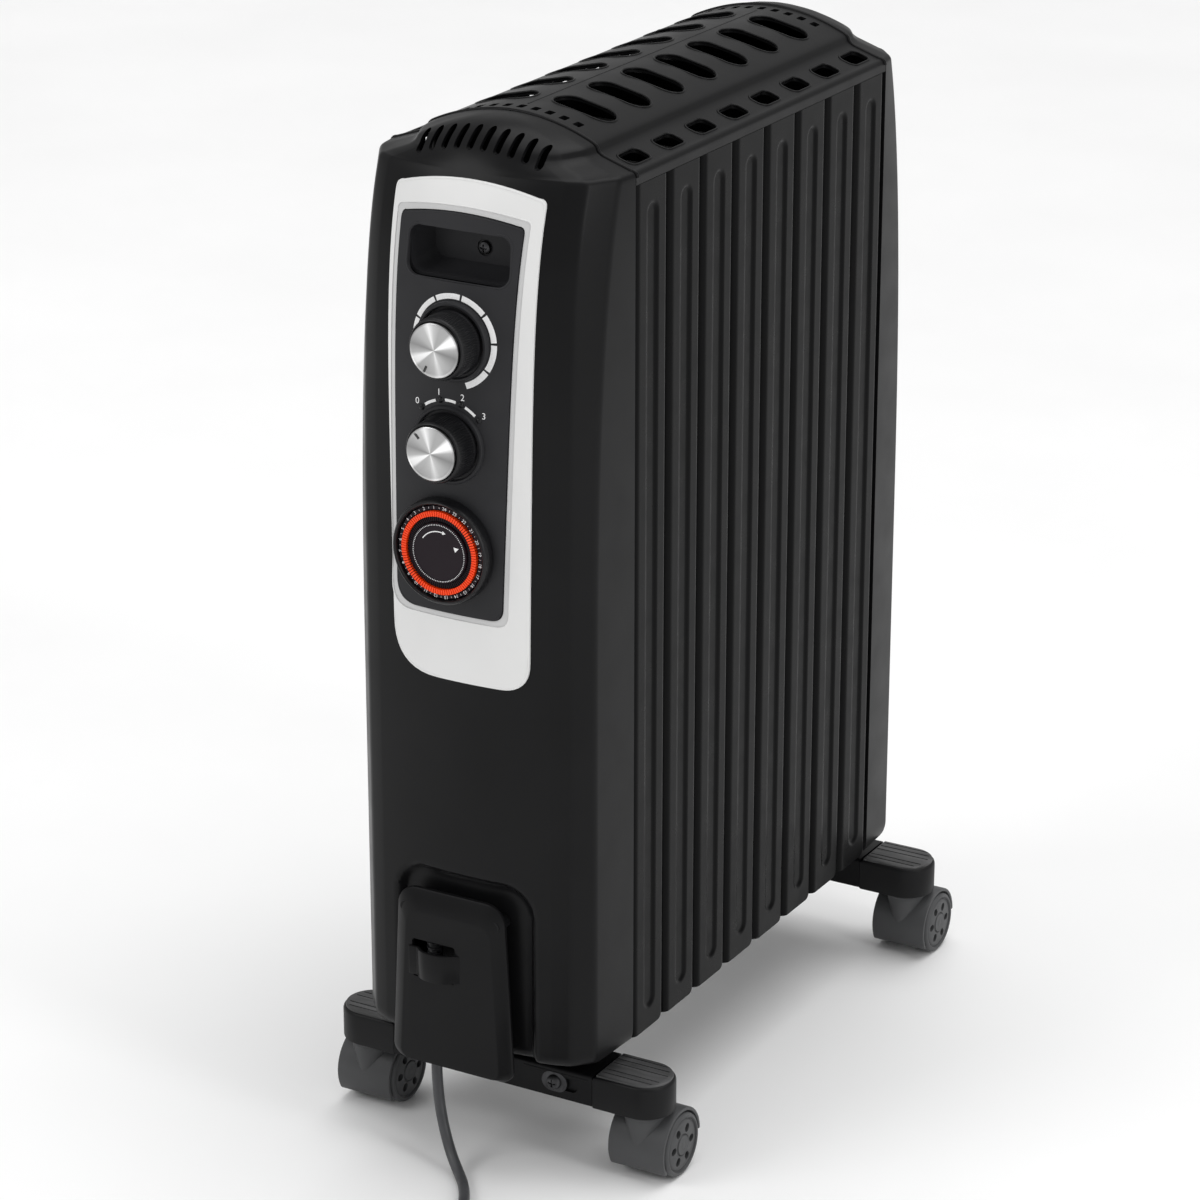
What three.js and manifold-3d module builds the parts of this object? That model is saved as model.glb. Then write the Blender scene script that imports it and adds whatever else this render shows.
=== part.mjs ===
// Oil filled radiator heater: welded steel fins between two plastic end housings, a slotted
// top grille, a control panel with two knobs and a day timer, and four twin-wheel casters.
// Millimetres, +Z up, front (the control panel) towards -Y, origin on the floor under the centre.
import * as THREE from "three";
import { mergeVertices } from "three/addons/utils/BufferGeometryUtils.js";
import Module from "manifold-3d";

const wasm = await Module();
wasm.setup();

// ---------------------------------------------------------------- driving dimensions
const GAP = 0.3; // clearance between two pieces that rest against each other
const WALL = 2.5; // plastic shell thickness

// fins
const FIN_COUNT = 8; // fins seen between the housings; one more sits inside the rear housing
const FIN_PITCH = 41;
const FIN_HALF_WIDTH = 84;
const FIN_BOTTOM = 84; // height of the fins' lower edge above the floor
const FIN_HEIGHT = 549.5;
const FIN_WEB = 8; // thickness of the oil-filled web
const FLANGE = 2; // thickness of the folded side flange
const FLANGE_SLIT = 4; // open slit between one flange and the next fin
const FOLD_RADIUS = 5;
const GROOVE_START = 0.38; // pressed groove, as shares of the flange's width
const GROOVE_END = 0.72;
const GROOVE_DEPTH = 1.2;
const GROOVE_MARGIN = 14; // from the groove's round end to the fin's edge
const HEADER_INSET = 38; // oil header axis to the fin's upper or lower edge
const HEADER_RADIUS = 22;
const HEADER_BORE = 14;
const HIDDEN_FIN_INSET = 6; // how much narrower the fin inside the rear housing is
const HIDDEN_FIN_DEPTH = 10;
const HIDDEN_HEADER_REACH = 22; // how far its oil headers reach behind the rear seam

// end housings
const FRONT_DEPTH = 66;
const FRONT_SIDE_DEPTH = 43;
const REAR_DEPTH = 50;
const REAR_SIDE_DEPTH = 36;
const SHOULDER_START = 480; // height at which the housing front starts to curve back
const SIDE_SHOULDER_START = 300;
const SHOULDER_STEPS = 7;
const BOTTOM_ROUND = 9;
const BOTTOM_ROUND_DEPTH = 6;
const SIDE_DRAFT = 2; // narrowing from the seam to the bevel edge
const BEVEL_WIDTH = 11;
const FRONT_FLAT = 61; // half width of the gently arched front
const FRONT_BOW = 0.29; // share of the bevel depth that the arched front falls away by

// top section shared by the grille and both housings
const SKIRT_HEIGHT = 5; // grille skirt above the fins
const SHELF_RISE = 8.5; // shelf's outer edge above the fins
const SHELF_SLOPE = 6;
const SHELF_INNER = 62; // half width at the shelf's inner edge
const STEP_TOP = 53; // half width at the top of the step
const STEP_HEIGHT = 8;
const ARCH_RISE = 12;

// recess and cover plate low on the front
const RECESS_DEPTH = 6;
const RECESS_HALF_WIDTH = 44;
const RECESS_RAMP = 6;
const RECESS_HEIGHT = 115;
const PLATE_THICKNESS = 3;
const PLATE_STAND_OFF = 11; // free space behind the plate, for the cord
const PLATE_X = -5; // middle of the plate
const PLATE_TOP_HALF_WIDTH = 38.5;
const PLATE_BOTTOM_HALF_WIDTH = 43.5;
const PLATE_DROP = 12; // how far the plate reaches below the housing
const PLATE_HEIGHT = 119;
const PLATE_CORNER = 10;
const POST_RADIUS = 4; // posts that carry the plate
const POST_INSET = 7; // post axis to the plate's upper side edge
const UPPER_POST_DROP = 14; // below the plate's top
const LOWER_POST_RISE = 16; // above the housing's lower edge
const CLIP_X = -15; // middle of the spring clip
const CLIP_WIDTH = 36;
const CLIP_HEIGHT = 19;
const CLIP_ABOVE_PLATE_BOTTOM = 62;
const CLIP_BULGE = 7;
const CLIP_THICKNESS = 2.4;
const CLIP_TAB = 7; // flat length at the clip's free end
const CLIP_TAB_LIFT = 1.2; // the tab's outer face in front of the plate
const CLIP_CREST = 20; // free end to the middle of the arch
const CLIP_ROOT = 3; // overlap of the clip's fixed end with the plate
const CLIP_SLOT_SIDE = 2; // opening around the clip
const CLIP_SLOT_BELOW = 1.5;
const CLIP_SLOT_ABOVE = 5;

// light bezel panel and dark control panel
const BEZEL_THICKNESS = 1.5;
const BEZEL_BOTTOM = 332;
const BEZEL_TOP = 632;
const BEZEL_ARCH = 6.5; // rise of the arched upper edge
const BEZEL_TOP_LEFT = 49.5; // the edges' distance from the middle at the top and bottom
const BEZEL_TOP_RIGHT = 51.5;
const BEZEL_BOTTOM_LEFT = 46.5;
const BEZEL_BOTTOM_RIGHT = 48;
const BEZEL_TOP_CORNER = 5;
const BEZEL_LEFT_CORNER = 32; // the two lower corners
const BEZEL_RIGHT_CORNER = 19;
const PANEL_THICKNESS = 2.2;
const PANEL_BOTTOM = 375;
const PANEL_TOP = 616;
const PANEL_ARCH = 4;
const PANEL_TOP_LEFT = 42.5;
const PANEL_TOP_RIGHT = 41;
const PANEL_BOTTOM_LEFT = 43.5;
const PANEL_BOTTOM_RIGHT = 31.5;
const PANEL_TOP_CORNER = 4;
const PANEL_LEFT_CORNER = 15;
const PANEL_RIGHT_CORNER = 9;
const PANEL_LEDGE = 3; // housing ledge that the control panel rests on

// finger pocket
const POCKET_HALF_WIDTH = 34;
const POCKET_BOTTOM = 581;
const POCKET_HEIGHT = 28.5;
const POCKET_DEPTH = 24;
const POCKET_WALL = 2;
const POCKET_CORNER = 7;
const POCKET_SCREW_X = 5;
const POCKET_SCREW_RADIUS = 4;
const POCKET_SCREW_HEAD = 2; // height of its head
const POCKET_SCREW_LENGTH = 12;

// knobs
const THERMOSTAT_X = 0;
const THERMOSTAT_HEIGHT = 545;
const SELECTOR_X = -3.5;
const SELECTOR_HEIGHT = 481.5;
const KNOB_RADIUS = 20;
const KNOB_SEGMENTS = 24;
const KNOB_LENGTH = 18;
const KNOB_RIM = 1.2;
const KNOB_CAP_RADIUS = 18;
const KNOB_CAP_THICKNESS = 1.6;
const KNOB_FOOT = 2; // straight foot of the knob, below its taper
const KNOB_COLLAR_CLEARANCE = 1.5; // between the knob and the collar around it
const KNOB_COLLAR_WIDTH = 2.5;
const KNOB_COLLAR_RISE = 1.5;
const SHAFT_RADIUS = 3;
const SHAFT_LENGTH = 22;
const THERMOSTAT_HALF_WIDTH = 17;
const THERMOSTAT_HALF_HEIGHT = 13;
const THERMOSTAT_DEPTH = 24;
const SELECTOR_HALF_SIZE = 15;
const SELECTOR_DEPTH = 20;
const CONTROL_NECK = 3; // wall of the threaded neck around a control's shaft

// day timer
const TIMER_X = -6.5;
const TIMER_HEIGHT = 415.5;
const TIMER_SEGMENTS = 28;
const TIMER_RADIUS = 33;
const TIMER_RISE = 8;
const TIMER_BEZEL_WIDTH = 3.5;
const TIMER_OPENING = 26;
const DIAL_LIFT = 2.5; // space between the panel's face and the dial
const DIAL_THICKNESS = 3;
const TAPPET_OUTER = 26;
const TAPPET_INNER = 22.8;
const TAPPET_RISE = 1.2;
const TAPPET_LENGTH = 3;
const HUB_RADIUS = 19;
const HUB_RISE = 1.8; // hub face in front of the dial face
const HUB_STEM = 7;
const HUB_STEM_LENGTH = 5; // behind the panel's face
const MOVEMENT_RADIUS = 24;
const MOVEMENT_DEPTH = 26;
const MOVEMENT_LUG = 34; // half length of its mounting lugs
const MOVEMENT_LUG_HALF_HEIGHT = 8;
const MOVEMENT_LUG_THICKNESS = 3;

// top grille
const CROWN_SLOTS = 7;
const CROWN_SLOT_WIDTH = 22;
const CROWN_SLOT_INNER = 6;
const CROWN_SLOT_OUTER = 47;
const SHELF_HOLES = 8;
const SHELF_HOLE_LENGTH = 24;
const SHELF_HOLE_WIDTH = 13;
const SHELF_HOLE_CORNER = 5;
const END_VENTS = 9;
const END_VENT_PITCH = 9.6;
const END_VENT_WIDTH = 4.6;
const END_VENT_LENGTH = 7;
const END_VENT_INSET = 9;
const VENT_TO_SLOT = 4;
const ARCH_SLOTS = 10; // slots in the curved edge of both housings
const ARCH_SLOT_PITCH = 9;
const ARCH_SLOT_WIDTH = 4.6;
const ARCH_SLOT_LENGTH = 12;
const ARCH_SLOT_DROP = 15; // their lower ends below the crown
const ARCH_SLOT_END = 3; // shell left between the slots and the seam

// parts inside the front housing
const CUTOUT_RADIUS = 9;
const CUTOUT_REACH = 12; // its face in front of the first fin
const CUTOUT_BELOW_HEADER = 60;
const TILT_SWITCH = { x0: 28, x1: 52, y0: -30, y1: -6, z0: 250, z1: 280 };
const TERMINALS = 3;
const TERMINAL_PITCH = 15;
const TERMINAL_HOLE = 3.5;
const TERMINAL_BLOCK = { x0: -30, x1: 14, y0: -22, y1: -6, z0: 225, z1: 243 };
const TERMINAL_DEPTH = 12; // back of the terminal holes, from the seam

// heating element and filler plug
const ELEMENT_RADIUS = 7;
const ELEMENT_SHORT = 21; // how far the element ends before the last visible fin
const ELEMENT_PLUG = 6; // length of its plug inside the header
const ELEMENT_FLANGE = 20;
const ELEMENT_FLANGE_THICKNESS = 7;
const ELEMENT_HEX = 12;
const ELEMENT_HEX_THICKNESS = 3;
const ELEMENT_PIN = 3;
const ELEMENT_PIN_LENGTH = 14;
const FILLER_HEAD = 17;
const FILLER_CROWN = 11;
const FILLER_HEAD_HEIGHT = 7;
const FILLER_THREAD = 10;

// feet
const FRONT_BAR_Y = -14; // bar centre behind (+) or in front (-) of the front seam
const REAR_BAR_PAST_SEAM = 32; // bar centre behind the rear seam
const BAR_WIDTH = 38;
const BAR_HALF_LENGTH = 73;
const BAR_BOTTOM = 49;
const BAR_TOP = 70;
const BAR_WALL = 2;
const BAR_SLOT_X = 50;
const BAR_SLOT_LENGTH = 26;
const BAR_SLOT_HEIGHT = 9;
const BAR_PAD_LENGTH = 24;
const BAR_PAD_HALF_WIDTH = 8;
const BAR_PAD_X = 40;
const ARM_OVERHANG = 28; // straight length of the arm outside the bar
const ARM_BOTTOM = 47.5;
const ARM_TOP = 71;
const ARM_SPIGOT = 16; // length of the arm's tongue inside the bar
const ARM_RIB = 1.2;
const BAR_SCREW_X = 46;
const BAR_SCREW_RADIUS = 3;
const BAR_SCREW_LENGTH = 16;
const BAR_SCREW_HEAD = 5;
const BAR_SCREW_HEAD_HEIGHT = 3.6; // in front of the bar
const BAR_FLANGE_WIDTH = 18.2; // the screw's oblong flange
const BAR_FLANGE_HEIGHT = 13.3;
const BAR_FLANGE_THICKNESS = 2;

// casters
const WHEEL_RADIUS = 21;
const CASTER_SEGMENTS = 20;
const WHEEL_WIDTH = 16;
const CASTER_HALF_WIDTH = 21;
const CASTER_TRAIL = 11; // axle behind the swivel axis
const HOOD_CLEARANCE = 1;
const HOOD_WALL = 2.5;
const HOOD_WEB = 6;
const HOOD_FRONT_REACH = 13; // how far below the axle the front of the hood reaches
const STEM_RADIUS = 5;
const STEM_LENGTH = 14;
const TURNTABLE_RADIUS = 15;
const AXLE_RADIUS = 2.5;

// mains lead
const CORD_DIAMETER = 7;
const CORD_X = -29; // where the lead leaves the housing
const RELIEF_TIP = 126;
const RELIEF_LENGTH = 24;
const RELIEF_RADIUS = 6;
const RELIEF_TIP_RADIUS = 4.4;
const RELIEF_NECK = 4;
const RELIEF_FLANGE = 1.3; // the grommet's inner flange beyond its neck
const RELIEF_FLANGE_HEIGHT = 4;
const POCKET_SIDE = 11; // half width of the lead's recess behind the plate
const CORD_POCKET_DEPTH = 20;
const COIL_CENTRE = [79, -195]; // in front of the heater, measured from the front seam
const COIL_MEAN_RADIUS = 39;
const COIL_HALF_WIDTH = 7;
const COIL_HEIGHT = 21;
const PLUG_OFFSET = 31; // from the coil's centre to the plug's tail
const PLUG_TAIL_RADIUS = 5;
const PLUG_RADIUS = 18;
const PLUG_LENGTH = 34;
const PLUG_PIN_RADIUS = 2.4;
const PLUG_PIN_LENGTH = 19;
const PLUG_PIN_SPACING = 19;

// ---------------------------------------------------------------- derived places
const FIN_TOP = FIN_BOTTOM + FIN_HEIGHT;
const REAR_SEAM = FIN_COUNT * FIN_PITCH; // the front seam is at y = 0 while the part is assembled
const ARCH_TOP = FIN_TOP + SHELF_RISE + SHELF_SLOPE + STEP_HEIGHT + ARCH_RISE;
const KNOB_FACE = FRONT_DEPTH + GAP + PANEL_THICKNESS;
const FRONT_REACH = KNOB_FACE + GAP + KNOB_LENGTH + GAP + KNOB_CAP_THICKNESS;
const HOOD_RADIUS = WHEEL_RADIUS + HOOD_CLEARANCE + HOOD_WALL;
const REAR_BAR_Y = REAR_SEAM + REAR_BAR_PAST_SEAM;
const REAR_REACH = REAR_BAR_Y + CASTER_TRAIL + HOOD_RADIUS;
const CENTRE_Y = (REAR_REACH - FRONT_REACH) / 2;
const CASTER_X = BAR_HALF_LENGTH + ARM_OVERHANG;
const RECESS_TOP = FIN_BOTTOM + RECESS_HEIGHT;

// ---------------------------------------------------------------- solids
function solid(geometry) {
  const bare = geometry.clone();
  bare.deleteAttribute("normal");
  bare.deleteAttribute("uv");
  const merged = mergeVertices(bare, 1e-3);
  return new wasm.Manifold(
    new wasm.Mesh({
      numProp: 3,
      vertProperties: merged.attributes.position.array,
      triVerts: new Uint32Array(merged.index.array),
    }),
  );
}

function geometryOf(manifold) {
  const mesh = manifold.getMesh();
  const geometry = new THREE.BufferGeometry();
  geometry.setAttribute("position", new THREE.BufferAttribute(mesh.vertProperties, 3));
  geometry.setIndex(new THREE.BufferAttribute(mesh.triVerts, 1));
  return geometry;
}

const join = (first, ...rest) => rest.reduce((sum, piece) => sum.add(piece), first);
const cut = (first, ...rest) => rest.reduce((sum, piece) => sum.subtract(piece), first);

function box(x0, x1, y0, y1, z0, z1) {
  const geometry = new THREE.BoxGeometry(x1 - x0, y1 - y0, z1 - z0);
  geometry.translate((x0 + x1) / 2, (y0 + y1) / 2, (z0 + z1) / 2);
  return solid(geometry);
}

// A profile of [radius, height] points turned about Z.
function turnedGeometry(profile, segments) {
  const points = profile.map(([r, h]) => new THREE.Vector2(r, h));
  return new THREE.LatheGeometry(points, segments).rotateX(Math.PI / 2);
}

// A profile of [radius, distance] turned about an axis that points to the front (-Y), at x, z.
function turnedToFront(profile, x, z, segments = 32) {
  return solid(turnedGeometry(profile, segments).rotateX(Math.PI / 2).translate(x, 0, z));
}

// A profile of [radius, distance] turned about an axis along X, through y, z.
function turnedAlongX(profile, y, z, segments = 32) {
  return solid(turnedGeometry(profile, segments).rotateY(Math.PI / 2).translate(0, y, z));
}

function turnedUpright(profile, x, y, segments = 24) {
  return solid(turnedGeometry(profile, segments).translate(x, y, 0));
}

const rod = (radius, from, to) => [
  [0, from],
  [radius, from],
  [radius, to],
  [0, to],
];

function ring(inner, outer, from, to) {
  return [
    [inner, from],
    [outer, from],
    [outer, to],
    [inner, to],
    [inner, from],
  ];
}

// An outline in X and Z pushed along Y from y0 to y1.
function prismAlongY(shape, y0, y1, curveSegments = 5) {
  const options = { depth: y1 - y0, bevelEnabled: false, curveSegments };
  const geometry = new THREE.ExtrudeGeometry(shape, options).rotateX(Math.PI / 2);
  return solid(geometry.translate(0, y1, 0));
}

// An outline in Y and Z pushed along X from x0 to x1.
function prismAlongX(shape, x0, x1, curveSegments = 3) {
  const options = { depth: x1 - x0, bevelEnabled: false, curveSegments };
  const geometry = new THREE.ExtrudeGeometry(shape, options);
  const [x, y, z] = [0, 1, 2].map((i) => new THREE.Vector3().setComponent(i, 1));
  geometry.applyMatrix4(new THREE.Matrix4().makeBasis(y, z, x));
  return solid(geometry.translate(x0, 0, 0));
}

// An outline in X and Y pushed along Z.
function prismUpright(shape, z0, z1, curveSegments = 6) {
  const options = { depth: z1 - z0, bevelEnabled: false, curveSegments };
  return solid(new THREE.ExtrudeGeometry(shape, options).translate(0, 0, z0));
}

// A stadium outline centred on u, v, along the first axis when wide, else the second.
function stadium(u, v, width, height) {
  const r = Math.min(width, height) / 2;
  return roundedOutline(u - width / 2, u + width / 2, v - height / 2, v + height / 2, r * 0.999);
}

const outlineThrough = (points) => new THREE.Shape(points.map(([u, v]) => new THREE.Vector2(u, v)));

function roundedOutline(u0, u1, v0, v1, r) {
  const shape = new THREE.Shape();
  shape.moveTo(u0 + r, v0);
  shape.lineTo(u1 - r, v0);
  shape.absarc(u1 - r, v0 + r, r, -Math.PI / 2, 0);
  shape.lineTo(u1, v1 - r);
  shape.absarc(u1 - r, v1 - r, r, 0, Math.PI / 2);
  shape.lineTo(u0 + r, v1);
  shape.absarc(u0 + r, v1 - r, r, Math.PI / 2, Math.PI);
  shape.lineTo(u0, v0 + r);
  shape.absarc(u0 + r, v0 + r, r, Math.PI, Math.PI * 1.5);
  return shape;
}

function anticlockwise([a, b, c], points) {
  const [pa, pb, pc] = [points[a], points[b], points[c]];
  const area = (pb[0] - pa[0]) * (pc[1] - pa[1]) - (pc[0] - pa[0]) * (pb[1] - pa[1]);
  return area > 0 ? [a, b, c] : [a, c, b];
}

// A solid through closed sections of equal point count, given from bottom to top.
function loft(sections) {
  const count = sections[0].length;
  const positions = sections.flat(2);
  const cap = THREE.ShapeUtils.triangulateShape(
    sections[0].map(([x, y]) => new THREE.Vector2(x, y)),
    [],
  );
  const last = (sections.length - 1) * count;
  const index = [];
  for (const [a, b, c] of cap.map((face) => anticlockwise(face, sections[0]))) {
    index.push(a, c, b);
    index.push(last + a, last + b, last + c);
  }
  for (let level = 0; level < sections.length - 1; level += 1) {
    for (let i = 0; i < count; i += 1) {
      const here = level * count + i;
      const next = level * count + ((i + 1) % count);
      index.push(here, next, next + count);
      index.push(here, next + count, here + count);
    }
  }
  const geometry = new THREE.BufferGeometry();
  geometry.setAttribute("position", new THREE.Float32BufferAttribute(positions, 3));
  geometry.setIndex(index);
  return solid(geometry);
}

const clamp01 = (value) => Math.min(1, Math.max(0, value));

// ---------------------------------------------------------------- shared top section
// Half width of the top section at a height, seen from the front.
function topHalfWidth(z, inset) {
  const shelfOuter = FIN_TOP + SHELF_RISE;
  const shelfInner = shelfOuter + SHELF_SLOPE;
  const stepTop = shelfInner + STEP_HEIGHT;
  const level = z + inset;
  if (level <= FIN_TOP + SKIRT_HEIGHT) return FIN_HALF_WIDTH - inset;
  if (level <= shelfOuter) {
    const t = (level - FIN_TOP - SKIRT_HEIGHT) / (shelfOuter - FIN_TOP - SKIRT_HEIGHT);
    return FIN_HALF_WIDTH - FLANGE * 2 * t * t - inset;
  }
  if (level <= shelfInner) {
    const outer = FIN_HALF_WIDTH - FLANGE * 2;
    return THREE.MathUtils.lerp(outer, SHELF_INNER, (level - shelfOuter) / SHELF_SLOPE) - inset;
  }
  if (level <= stepTop) {
    const t = (level - shelfInner) / STEP_HEIGHT;
    return THREE.MathUtils.lerp(SHELF_INNER, STEP_TOP, t) - inset;
  }
  const t = clamp01((level - stepTop) / ARCH_RISE);
  return Math.max(STEP_TOP * Math.sqrt(1 - t) - inset, 1);
}

// Heights at which the top section is taken, from the fins' upper edge to the crown.
function topLevels(inset) {
  const shelfOuter = FIN_TOP + SHELF_RISE;
  const shelfInner = shelfOuter + SHELF_SLOPE;
  const stepTop = shelfInner + STEP_HEIGHT;
  const arch = [0.4, 0.72, 0.93, 1].map((t) => stepTop + ARCH_RISE * t);
  const levels = [FIN_TOP + SKIRT_HEIGHT, shelfOuter, shelfInner, stepTop];
  return [...levels, ...arch].map((z) => z - inset);
}

// ---------------------------------------------------------------- end housings
function shoulder(z, start, power, root) {
  const t = clamp01((z - start) / (ARCH_TOP - start));
  return Math.pow(Math.max(1 - Math.pow(t, power), 1e-4), root);
}

function bottomRound(z) {
  const t = clamp01(1 - (z - FIN_BOTTOM) / BOTTOM_ROUND);
  return BOTTOM_ROUND_DEPTH * (1 - Math.sqrt(1 - t * t));
}

function recess(x, z) {
  const across = clamp01((RECESS_HALF_WIDTH + RECESS_RAMP - Math.abs(x)) / RECESS_RAMP);
  const up = clamp01((RECESS_TOP + RECESS_RAMP - z) / RECESS_RAMP);
  return RECESS_DEPTH * across * up;
}

// How far the housing stands out from its seam at x, z, for a form {depth, side, recessed}.
function housingDepth(form, x, z, inset) {
  const full = form.depth * shoulder(z, SHOULDER_START, 3, 1 / 3) - inset - bottomRound(z);
  const side = form.side * shoulder(z, SIDE_SHOULDER_START, 3, 0.7) - inset / 2 - bottomRound(z);
  const bow = FRONT_BOW * Math.pow(Math.abs(x) / FRONT_FLAT, 2);
  const depth = side + (full - side) * (1 - bow);
  return Math.max(form.recessed ? depth - recess(x, z) : depth, 1);
}

// Half of the housing's horizontal section, from the seam round to the middle of the front.
function halfSection(form, z, inset) {
  const wide = topHalfWidth(z, inset) - bottomRound(z) / 3;
  const scale = wide / (FIN_HALF_WIDTH - inset);
  const side = housingSide(form, z, inset);
  const points = [
    [wide, 0],
    [wide - SIDE_DRAFT * scale, side],
  ];
  const bevel = wide - (SIDE_DRAFT + BEVEL_WIDTH) * scale;
  const flat = FRONT_FLAT * scale;
  const bevelDepth = side + (housingDepth(form, flat / scale, z, inset) - side) * 0.76;
  points.push([bevel, bevelDepth]);
  const ramp = [RECESS_HALF_WIDTH + RECESS_RAMP, RECESS_HALF_WIDTH];
  const across = [FRONT_FLAT, ...(form === REAR_FORM ? [] : ramp), FRONT_FLAT / 2];
  for (const x of across) points.push([x * scale, housingDepth(form, x, z, inset)]);
  return points;
}

function housingSide(form, z, inset) {
  const side = form.side * shoulder(z, SIDE_SHOULDER_START, 3, 0.7);
  return Math.max(side - inset / 2 - bottomRound(z), 0.6);
}

function housingSection(form, z, inset, back) {
  const half = halfSection(form, z, inset);
  const right = half.map(([x, depth], i) => [x, i === 0 ? back : -depth, z]);
  const middle = [0, -housingDepth(form, 0, z, inset), z];
  const left = right.map(([x, y]) => [-x, y, z]);
  return [...left, middle, ...right.reverse()];
}

function housingLevels(inset) {
  const foot = [0, 0.35, 1].map((t) => FIN_BOTTOM + BOTTOM_ROUND * t);
  const body = [RECESS_TOP, RECESS_TOP + RECESS_RAMP, SIDE_SHOULDER_START];
  const rise = (FIN_TOP - SIDE_SHOULDER_START) / SHOULDER_STEPS;
  const shoulders = [];
  for (let i = 1; i < SHOULDER_STEPS; i += 1) shoulders.push(SIDE_SHOULDER_START + rise * i);
  const start = inset > 0 ? foot.map((z) => Math.max(z, FIN_BOTTOM + inset)) : foot;
  const levels = [...start, ...body, ...shoulders, ...topLevels(inset)];
  return levels.filter((z, i) => i === 0 || z > levels[i - 1] + 0.01);
}

// The filled form of a housing, from its seam (y = back) to its front.
function housingForm(form, inset, back) {
  return loft(housingLevels(inset).map((z) => housingSection(form, z, inset, back)));
}

const FRONT_FORM = { depth: FRONT_DEPTH, side: FRONT_SIDE_DEPTH, recessed: true };
const SMOOTH_FORM = { depth: FRONT_DEPTH, side: FRONT_SIDE_DEPTH, recessed: false };
const REAR_FORM = { depth: REAR_DEPTH, side: REAR_SIDE_DEPTH, recessed: false };

// Cutters for the row of slots in the curved upper edge of a housing.
function archSlots() {
  const slots = [];
  const low = ARCH_TOP - ARCH_SLOT_DROP;
  const half = ARCH_SLOT_WIDTH / 2;
  for (let i = 0; i < ARCH_SLOTS; i += 1) {
    const x = (i - (ARCH_SLOTS - 1) / 2) * ARCH_SLOT_PITCH;
    slots.push(box(x - half, x + half, -FRONT_DEPTH, -ARCH_SLOT_END, low, low + ARCH_SLOT_LENGTH));
  }
  return slots;
}

// Cutters for the row of small vents at one end of the grille.
function endVents(y0) {
  const vents = [];
  const half = END_VENT_WIDTH / 2;
  for (let i = 0; i < END_VENTS; i += 1) {
    const x = (i - (END_VENTS - 1) / 2) * END_VENT_PITCH;
    vents.push(box(x - half, x + half, y0, y0 + END_VENT_LENGTH, FIN_TOP + SHELF_RISE, ARCH_TOP + 1));
  }
  return vents;
}

const cordPocketTop = RELIEF_TIP + RELIEF_LENGTH;
const recessFloor = FRONT_DEPTH - RECESS_DEPTH;
const reliefFlange = RELIEF_NECK + RELIEF_FLANGE;
const frontAtLead = housingDepth(FRONT_FORM, CORD_X, cordPocketTop, 0);
const cordY = -(frontAtLead - WALL - reliefFlange - GAP);

// The lead's own recess in the housing, open to the front and below, with the gland hole in its roof.
function addCordPocket(shell) {
  const x0 = CORD_X - POCKET_SIDE;
  const x1 = CORD_X + POCKET_SIDE;
  const back = -(recessFloor - CORD_POCKET_DEPTH);
  const roof = cordPocketTop + WALL;
  const block = box(x0 - WALL, x1 + WALL, -recessFloor + 1, back + WALL, FIN_BOTTOM + 1, roof);
  const hollow = box(x0, x1, -FRONT_DEPTH - 5, back, FIN_BOTTOM - 5, cordPocketTop);
  const gland = turnedUpright(rod(RELIEF_NECK + GAP, cordPocketTop - 1, roof + 1), CORD_X, cordY);
  return cut(join(shell, block), hollow, gland);
}

function frontHousing() {
  let shell = housingForm(FRONT_FORM, 0, -GAP);
  shell = cut(shell, housingForm(FRONT_FORM, WALL, 5));
  const window = prismAlongY(panelOutline(PANEL_LEDGE), -FRONT_DEPTH - 5, -20);
  shell = cut(shell, window);
  shell = cut(shell, ...archSlots());
  return addCordPocket(shell);
}

function rearHousing() {
  let shell = housingForm(REAR_FORM, 0, -GAP);
  shell = cut(shell, housingForm(REAR_FORM, WALL, 5));
  shell = cut(shell, ...archSlots());
  return shell.rotate([0, 0, 180]).translate([0, REAR_SEAM, 0]);
}

// ---------------------------------------------------------------- top grille
function grilleOutline(inset) {
  const bottom = FIN_TOP + GAP;
  const levels = topLevels(inset).filter((z) => z > bottom);
  const right = levels.map((z) => [topHalfWidth(z, inset), z]);
  right.unshift([FIN_HALF_WIDTH - inset, inset > 0 ? bottom - 1 : bottom]);
  const points = [...right, ...right.map(([x, z]) => [-x, z]).reverse()];
  return outlineThrough(points);
}

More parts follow.
